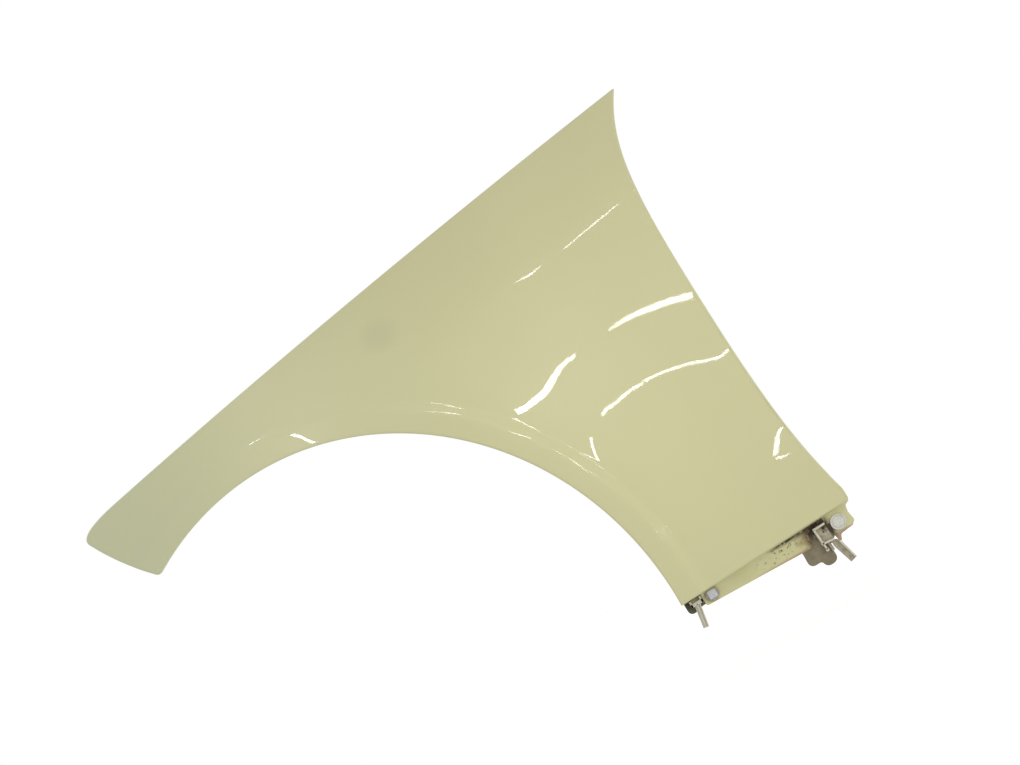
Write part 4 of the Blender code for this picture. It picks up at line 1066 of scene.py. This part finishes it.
def clean_cream(tree, coords, split):
    """The cream: two tones by noise, painted light below, a painted reflection at the nose and one
    of the camera.
    """
    drift = ramp(tree, noise(tree, coords, 2.6, 2.0), 0.35, 0.65)
    above, below = (mixed(tree, drift, *pair) for pair in (CREAM_ABOVE, CREAM_PAINTED_LIGHT_BELOW))
    # Painted light: lighter towards the bottom.
    colour = mixed(tree, ramp(tree, split["Z"], -0.05, -0.48), above, below)
    # Painted reflection: greyer and greener towards the nose.
    colour = mixed(tree, ramp(tree, split["X"], 0.1, -0.38), colour, NOSE_PAINTED_REFLECTION)
    # Painted reflection of the camera, a dark patch.
    camera_reflection = maths(tree, "MULTIPLY", spot(tree, coords, *CAMERA_REFLECTION_SPOT), CAMERA_REFLECTION_SHARE)
    return mixed(tree, camera_reflection, colour, CAMERA_REFLECTION_GREY)


print("cream from", CREAM_ABOVE[0], "to", CREAM_PAINTED_LIGHT_BELOW[1])

# %% [markdown]
# ## The soiled and shaded sill flange
# Road dirt, rust, a brown stain along the lower lip and painted shade just under the skin's edge
# lie only on the flange. Each is a colour with a place, laid over the last one, as a painter
# weathers a model. A spot is given by its x, z, width and height.

# %% The soiled and shaded sill flange
FILM, LIP_STAIN, DIRT_AND_SHADE = (0.58, 0.55, 0.26), (0.38, 0.24, 0.15), (0.045, 0.030, 0.014)
RUST, SPECK, OLIVE = (0.30, 0.19, 0.07), (0.10, 0.08, 0.04), (0.50, 0.46, 0.07)
# The first two spots lie beside the rear clip; the last two are a thin dark band just under the
# skin's edge, painted shade.
DIRT_AND_SHADE_SPOTS = ((0.547, -0.064, 0.014, 0.026), (0.5725, -0.066, 0.008, 0.022),
              (0.548, -0.0515, 0.034, 0.008), (0.518, -0.0515, 0.03, 0.004))
RUST_SPOT, SPECK_SPOT = (0.538, -0.067, 0.016, 0.02), (0.505, -0.0600, 0.040, 0.012)
OLIVE_SPOT = (0.4045, -0.067, 0.009, 0.009)


def lip_stain(tree, split, flange):
    """A band along the flange's slanting lower edge: height plus the fall times x."""
    fall = (FLANGE_END_DROP - FLANGE_START_DROP) / (FLANGE_END - FLANGE_START)
    start = SILL_Z - FLANGE_START_DROP + fall * (FLANGE_START - ORIGIN[0]) - ORIGIN[2]
    edge = maths(tree, "ADD", split["Z"], maths(tree, "MULTIPLY", split["X"], fall))
    lip = maths(tree, "MULTIPLY", flange, ramp(tree, edge, start + 0.0036, start + 0.0012))
    return maths(tree, "MULTIPLY", lip, ramp(tree, split["X"], 0.27, 0.34))


def soiled_and_shaded_flange(tree, coords, split, colour):
    """The colour under film, stain, dirt with painted shade, rust, specks and olive, and a mask of
    these marks.
    """
    flange = ramp(tree, split["Z"], SILL_Z - 0.0006 - ORIGIN[2], SILL_Z - 0.0016 - ORIGIN[2])
    film = broken(tree, coords, flange, 46.0, 0.38, 0.75)
    colour = mixed(tree, maths(tree, "MULTIPLY", film, 0.4), colour, FILM)
    lip = maths(tree, "MULTIPLY", lip_stain(tree, split, flange), 0.85)
    colour = mixed(tree, lip, colour, LIP_STAIN)
    # Dirt, with painted shade just under the skin's edge.
    dirt_and_shade = 0.0
    for place in DIRT_AND_SHADE_SPOTS:
        dirt_and_shade = maths(tree, "MAXIMUM", spot(tree, coords, *place), dirt_and_shade)
    dirt_and_shade = maths(tree, "MULTIPLY", broken(tree, coords, dirt_and_shade, 150.0, 0.22, 0.46), flange)
    colour = mixed(tree, dirt_and_shade, colour, DIRT_AND_SHADE)
    rust = maths(tree, "MULTIPLY", spot(tree, coords, *RUST_SPOT), flange)
    rust = broken(tree, coords, rust, 120.0, 0.36, 0.62)
    colour = mixed(tree, maths(tree, "MULTIPLY", rust, 0.7), colour, RUST)
    specks = ramp(tree, noise(tree, coords, 250.0, 3.0), 0.57, 0.65)
    where = maths(tree, "MULTIPLY", specks, spot(tree, coords, *SPECK_SPOT))
    colour = mixed(tree, maths(tree, "MULTIPLY", where, flange), colour, SPECK)
    olive = maths(tree, "MULTIPLY", spot(tree, coords, *OLIVE_SPOT), flange)
    colour = mixed(tree, maths(tree, "MULTIPLY", olive, 0.75), colour, OLIVE)
    return colour, maths(tree, "MAXIMUM", maths(tree, "MAXIMUM", dirt_and_shade, rust), film)


def paint_material():
    """Cream paint under a clear coat with painted light and reflections, and a stained sill flange
    with painted shade.
    """
    mat, tree, shader = material("cream paint")
    coords = node(tree, "ShaderNodeTexCoord").outputs["Object"]
    split = node(tree, "ShaderNodeSeparateXYZ", Vector=coords).outputs
    colour, soiled_and_shaded = soiled_and_shaded_flange(tree, coords, split, clean_cream(tree, coords, split))
    tree.links.new(colour, shader.inputs["Base Color"])
    tree.links.new(ramp(tree, soiled_and_shaded, 0.0, 1.0, 0.42, 0.8), shader.inputs["Roughness"])
    tree.links.new(ramp(tree, soiled_and_shaded, 0.0, 1.0, 0.85, 0.15), shader.inputs["Coat Weight"])
    shader.inputs["Coat Roughness"].default_value = 0.02
    bumped(tree, shader, noise(tree, coords, 420.0, 1.0), 0.006, socket="Coat Normal")
    bumped(tree, shader, soiled_and_shaded, 0.3)
    return mat


PAINT = paint_material()
print("paint of", len(PAINT.node_tree.nodes), "nodes")

# %% [markdown]
# ## Plastic, primer and pad
# The small pieces share one recipe with other colours: two tones by noise, dirt in the grain and
# dark ragged spots, which are painted shade with some dirt. Ivory plastic has yellowed and primer
# is matt. The clips' rear parts, which lie against the flange, are darker than their raised walls,
# as painted shade with some dirt, and the front bracket's near-black primer is painted shade.

# %% Plastic, primer and pad


def soiled_and_shaded_material(name, clean, worn, dirt_and_shade, grime_and_shade_spots, rough=0.5, grain=90.0, amount=0.5):
    """A moulded or primed surface: two tones by noise, dirt in the grain, and dark ragged spots of
    painted shade with dirt.
    """
    mat, tree, shader = material(name)
    coords = node(tree, "ShaderNodeTexCoord").outputs["Object"]
    tone = ramp(tree, noise(tree, coords, grain, 4.0), 0.35, 0.65)
    colour = mixed(tree, tone, clean, worn)
    grit = ramp(tree, noise(tree, coords, 3 * grain, 5.0), 0.5, 0.7)
    grime_and_shade = maths(tree, "MULTIPLY", grit, amount)
    # Each spot is a dark ragged patch: painted shade with some dirt.
    for x, z, wide, high in grime_and_shade_spots:
        ragged = broken(tree, coords, spot(tree, coords, x, z, wide, high), 240.0, 0.28, 0.5)
        grime_and_shade = maths(tree, "MAXIMUM", grime_and_shade, ragged)
    tree.links.new(mixed(tree, grime_and_shade, colour, dirt_and_shade), shader.inputs["Base Color"])
    tree.links.new(ramp(tree, grime_and_shade, 0.0, 1.0, rough, 0.9), shader.inputs["Roughness"])
    bumped(tree, shader, noise(tree, coords, 700.0, 2.0), 0.15, 0.0004)
    return mat


IVORY = soiled_and_shaded_material("aged ivory plastic", (0.68, 0.65, 0.54), (0.60, 0.56, 0.43),
                        (0.10, 0.07, 0.035), [], 0.42, 120.0, 0.12)
# The clips' deeper faces get this darker copy of the ivory: painted shade with some dirt.
GRIMY_AND_SHADED = soiled_and_shaded_material("grimy and shaded ivory plastic", (0.46, 0.42, 0.31), (0.36, 0.31, 0.20),
                        (0.05, 0.035, 0.015), [(0.5665, -0.0615, 0.006, 0.009),
                                               (0.3720, -0.0660, 0.005, 0.020)], 0.5, 130.0, 0.45)
# The rear bracket's spot is painted shade in the pocket just under the skin's edge.
BROWN = soiled_and_shaded_material("brown primer", (0.245, 0.212, 0.135), (0.205, 0.175, 0.110),
                        (0.035, 0.022, 0.012), [(0.5580, -0.0580, 0.026, 0.017)], 0.7, 60.0, 0.25)
# The front bracket's near-black green is painted shade for the dark corner behind the front of the
# flange.
SHADE_PRIMER = soiled_and_shaded_material("primer darkened as painted shade", (0.085, 0.092, 0.050), (0.135, 0.140, 0.090),
                       (0.020, 0.016, 0.008), [(0.3830, -0.0540, 0.018, 0.008)], 0.7, 110.0, 0.4)
WHITE = soiled_and_shaded_material("white plastic", (0.72, 0.72, 0.66), (0.66, 0.66, 0.58),
                        (0.30, 0.28, 0.18), [], 0.4, 120.0, 0.25)
FOAM = soiled_and_shaded_material("grey pad", (0.44, 0.41, 0.36), (0.34, 0.31, 0.26),
                       (0.16, 0.13, 0.09), [], 0.75, 200.0, 0.3)
CORE = soiled_and_shaded_material("pale core", (0.66, 0.67, 0.72), (0.58, 0.59, 0.63),
                       (0.40, 0.38, 0.36), [], 0.55, 200.0, 0.2)
print("seven small finishes mixed")

# %% [markdown]
# ## Giving out the finishes
# A piece gets one material, and its faces can point to a second one. The clips' deeper faces,
# darker as painted shade with some dirt, and the pale core of the pad are picked by the depth at
# which their faces lie.

# %% Giving out the finishes
GRIMY_AND_SHADED_BELOW, CORE_ABOVE = BASE - 0.0019 - ORIGIN[1], FLANGE_Y - 0.00275 - ORIGIN[1]


def finished(obj, mat):
    """Gives the piece this one material."""
    obj.data.materials.clear()
    obj.data.materials.append(mat)


for obj, mat in ((panel, PAINT), (rear_bracket, BROWN), (front_bracket, SHADE_PRIMER), (rear_clip, IVORY),
                 (front_clip, IVORY), (rear_plug, WHITE), (front_plug, FOAM)):
    finished(obj, mat)
# Faces set deeper than the raised walls take the darker ivory, painted shade with some dirt.
for clip in (rear_clip, front_clip):
    clip.data.materials.append(GRIMY_AND_SHADED)
    for face in clip.data.polygons:
        face.material_index = int(face.center.y > GRIMY_AND_SHADED_BELOW)
front_plug.data.materials.append(CORE)
for face in front_plug.data.polygons:
    face.material_index = int(face.center.y < CORE_ABOVE)
print("finishes given to seven pieces")

# %% [markdown]
# ## Light, backdrop and camera
# The photo is a catalogue shot, cut out on white and turned so that the panel hangs nose down to
# the left. The camera therefore rolls about its own axis instead of the panel. It stands far off
# with a long lens, as a product photographer does, so that the panel keeps its true outline.

# %% Camera
SENSOR, CLIP_END = 36, 100
ROLL = math.radians(32.3)
CENTRE = np.array([0.15522, -0.07144, -0.16389])
DISTANCE, WIDTH = 8.0, 1.2515
RIGHT = np.array([math.cos(ROLL), 0, -math.sin(ROLL)])
UP = np.array([math.sin(ROLL), 0, math.cos(ROLL)])
TOWARDS = np.array([0, -1.0, 0])


def facing(location, right, up, back):
    """The matrix of a camera or lamp with these axes."""
    m = np.eye(4)
    m[:3, 0], m[:3, 1], m[:3, 2], m[:3, 3] = right, up, back, location
    return Matrix(m.tolist())


lens = bpy.data.cameras.new("camera")
lens.sensor_width = SENSOR
lens.lens = SENSOR * DISTANCE / WIDTH
lens.clip_end = CLIP_END
camera = bpy.data.objects.new("camera", lens)
camera.matrix_world = facing(CENTRE + DISTANCE * TOWARDS, RIGHT, UP, TOWARDS)
bpy.context.scene.collection.objects.link(camera)
bpy.context.scene.camera = camera
bpy.context.scene.view_settings.view_transform = "Standard"


print("lens of", round(lens.lens), "mm at", DISTANCE, "m")

# %% [markdown]
# ## White world
# An even pale world lights the panel from all sides, as a light tent does. Camera, glossy and
# transmission rays see plain white instead, so the backdrop is white without more light.

# %% White world
SKY_LEVEL = 0.69


def view_rays(tree):
    """One for camera, glossy and transmission rays, and 0 for the rays that carry light."""
    path = tree.nodes.new("ShaderNodeLightPath").outputs
    seen = maths(tree, "MAXIMUM", path["Is Camera Ray"], path["Is Glossy Ray"])
    return maths(tree, "MAXIMUM", seen, path["Is Transmission Ray"])


world = bpy.data.worlds.new("studio")
world.use_nodes = True
bpy.context.scene.world = world
sky_tree = world.node_tree
sky = sky_tree.nodes["Background"]
white = sky_tree.nodes.new("ShaderNodeBackground")
for background, level in ((sky, SKY_LEVEL), (white, 1)):
    background.inputs["Color"].default_value = (1, 1, 1, 1)
    background.inputs["Strength"].default_value = level
sky_mix = sky_tree.nodes.new("ShaderNodeMixShader")
sky_tree.links.new(view_rays(sky_tree), sky_mix.inputs[0])
sky_tree.links.new(sky.outputs[0], sky_mix.inputs[1])
sky_tree.links.new(white.outputs[0], sky_mix.inputs[2])
sky_tree.links.new(sky_mix.outputs[0], sky_tree.nodes["World Output"].inputs["Surface"])
print("world at", SKY_LEVEL, "for light, white for views")

# %% [markdown]
# ## Side lamp
# One large lamp from the rear gives the slow change of tone over the panel. It is hidden from
# glossy rays, because its image would be a band that the photo doesn't have.

# %% Side lamp
SIDE_PLACE, SIDE_WIDTH, SIDE_HEIGHT, SIDE_POWER = (2.6, -2.2, -0.3), 1.2, 0.5, 19


def lamp(name, matrix, width, height, power):
    """A rectangular lamp with this matrix, which the camera doesn't see."""
    data = bpy.data.lights.new(name, "AREA")
    data.shape = "RECTANGLE"
    data.size, data.size_y = width, height
    data.energy = power
    obj = bpy.data.objects.new(name, data)
    obj.matrix_world = matrix
    obj.visible_camera = False
    bpy.context.scene.collection.objects.link(obj)
    return obj


back = np.array(SIDE_PLACE) - CENTRE
back /= np.linalg.norm(back)
across = np.cross(UP, back)
across /= np.linalg.norm(across)
side_lamp = lamp("side", facing(SIDE_PLACE, across, np.cross(back, across), back),
                 SIDE_WIDTH, SIDE_HEIGHT, SIDE_POWER)
side_lamp.visible_glossy = False
print("side lamp of", SIDE_POWER, "W")

# %% [markdown]
# ## Highlights placed by their mirror rays
# Each bright line in the photo is the image of a lamp. The law of reflection tells where that lamp
# stands: follow the view ray to the line, turn it about the surface normal and walk out along it.
# So every highlight below is a path on the skin, and short lamps are strung along its mirror image.
# A free guess of lamp places would need many trial renders for the same result.
#
# The paths were read off the photo by eye, in its pixels, and a few points were shifted a little
# after trial renders. Each highlight has its widths at start, middle and end in metres, the lamps'
# distance, their level, and its path. The places are rounded to a tenth of a millimetre, which is
# finer than they were read.

# %% Paths of the highlights
CAMERA = CENTRE + DISTANCE * TOWARDS
PIXEL, ARCH_PIXEL, DECIMALS = 0.001227, (406.4, 731.5), 4
HIGHLIGHTS = {
    "crown_band": ((0.0075, 0.0088, 0.0030), 0.3, 24,
                   [(516.4, 412.1), (525.7, 407.9), (534.3, 400.7), (544.3, 392.9), (550, 384.3),
                    (554.3, 376.4), (560, 367.9), (567.1, 361.4), (575.4, 355)]),
    "door_band": ((0.0015, 0.0062, 0.0074), 0.6, 24,
                  [(608.7, 330), (617.3, 324.7), (628, 318), (640, 312.7), (653.3, 307.3),
                   (669.7, 301.3), (692, 295.3)]),
    "door_line": ((0.0042, 0.0030, 0.0030), 0.4, 22,
                  [(601.65, 414.75), (606.5, 408.9), (614.3, 403.6), (625.7, 393.6), (638.6, 385),
                   (654.3, 375.7), (688.6, 363.6), (701.4, 361.4), (715.7, 358.3),
                   (724.3, 353.6), (727.6, 349.3)]),
    "hook": ((0.0036, 0.0028, 0.0024), 0.3, 22,
             [(590.7, 437.1), (592.1, 445.7), (595, 454.3), (600, 463.6)]),
    "low_dash": ((0.0012, 0.0012, 0.0012), 0.8, 7, [(558.6, 445.7), (566.4, 449.3)]),
    "crease_dash": ((0.0030, 0.0034, 0.0010), 0.6, 13,
                    [(522.7, 279.3), (530, 274), (537.3, 269.3)]),
    "crease_line": ((0.0010, 0.0026, 0.0012), 0.7, 12,
                    [(564.7, 249.3), (578, 238), (592, 226.7), (604, 217), (615.3, 207.7)]),
    "nose_arc": ((0.0010, 0.0016, 0.0020), 0.3, 16, [(249, 446), (260, 439.5), (271, 434)]),
    "nose_bow": ((0.0036, 0.0036, 0.0024), 0.2, 26, [(290.7, 433.9), (300, 436.5), (316, 443.5)]),
    "heel_line": ((0.0035, 0.0045, 0.0055), 0.5, 22,
                  [(781.5, 427), (778.5, 432), (776.5, 440), (775, 455)]),
    "heel_foot": ((0.0030, 0.0020, 0.0012), 0.5, 18, [(776, 457.5), (783, 456.5), (789, 453.5)]),
}


def on_panel(pixels):
    """Photo pixels as x, z: their offset from the arch's pixel, scaled, turned back by the roll."""
    across, up = PIXEL * (np.array(pixels, float) - ARCH_PIXEL).T * [[1], [-1]]
    x = across * math.cos(ROLL) + up * math.sin(ROLL)
    z = up * math.cos(ROLL) - across * math.sin(ROLL)
    return np.round(np.stack([x, z], -1), DECIMALS)


print(len(HIGHLIGHTS), "highlights, the first starts at", on_panel(HIGHLIGHTS["crown_band"][3])[0])

# %% [markdown]
# ## Lamps along the mirror image
# The slope of the depth formula gives the normal at any point, so the mirror ray needs no mesh. A
# short lamp stands between the mirror places of each two neighbours on the path.

# %% Lamps along the mirror image
SLOPE_STEP = 1e-4


def mirror_place(x, z, distance):
    """Where a lamp stands that shows at x, z: out along view - 2 (view . normal) normal."""
    step = SLOPE_STEP
    slope_x = (skin_depth(x + step, z) - skin_depth(x - step, z)) / (2 * step)
    slope_z = (skin_depth(x, z + step) - skin_depth(x, z - step)) / (2 * step)
    normal = np.array([slope_x, -1, slope_z]) / math.hypot(slope_x, 1, slope_z)
    point = np.array([x, skin_depth(x, z), z]) - ORIGIN
    view = (point - CAMERA) / np.linalg.norm(point - CAMERA)
    return point + distance * (view - 2 * (view @ normal) * normal)


def traced(name, widths, distance, level, path):
    """Short lamps strung along a path's mirror image; widths at its start, middle and end."""
    path = on_panel(path)
    for k, (a, b) in enumerate(zip(path, path[1:])):
        middle, across = (a + b) / 2, np.array([a[1] - b[1], b[0] - a[0]])
        share = (k + 0.5) / (len(path) - 1)
        across *= np.interp(share, (0, 0.5, 1), widths) / 2 / np.hypot(*across)
        start, end = mirror_place(*a, distance), mirror_place(*b, distance)
        side = mirror_place(*(middle + across), distance)
        side -= mirror_place(*(middle - across), distance)
        length = np.linalg.norm(end - start)
        run = (end - start) / length
        side -= (side @ run) * run
        thick = np.linalg.norm(side)
        back = (start + end) / 2 - mirror_place(*middle, 0)
        back -= (back @ run) * run
        back /= np.linalg.norm(back)
        matrix = facing((start + end) / 2, run, np.cross(back, run), back)
        lamp(f"{name}_{k}", matrix, length, thick, level * math.pi * length * thick)


for name, (widths, distance, level, path) in HIGHLIGHTS.items():
    traced(name, widths, distance, level, path)
print("camera and lamps set,", len(bpy.data.lights), "lamps")

# %% [markdown]
# ## Floor
# A pale floor well below the panel keeps its soft shadow in the views from the side. A little glow
# for camera, glossy and transmission rays alone lifts it to the white of the backdrop.

# %% Floor
FLOOR_GLOW, FLOOR_Z, FLOOR_HALF = 0.38, -0.62, 4
FLOOR_GREY, FLOOR_ROUGHNESS = (0.9, 0.9, 0.9, 1), 0.8
corners = [(FLOOR_HALF * u, FLOOR_HALF * v, FLOOR_Z) for u, v in SQUARE]
floor = mesh_object("floor", corners, [[0, 1, 2, 3]])
floor_mat, floor_tree, floor_shader = material("pale floor")
floor_shader.inputs["Base Color"].default_value = FLOOR_GREY
floor_shader.inputs["Roughness"].default_value = FLOOR_ROUGHNESS
floor_shader.inputs["Emission Color"].default_value = (1, 1, 1, 1)
floor_tree.links.new(maths(floor_tree, "MULTIPLY", view_rays(floor_tree), FLOOR_GLOW),
                     floor_shader.inputs["Emission Strength"])
floor.data.materials.append(floor_mat)
print("floor at", FLOOR_Z, "m")
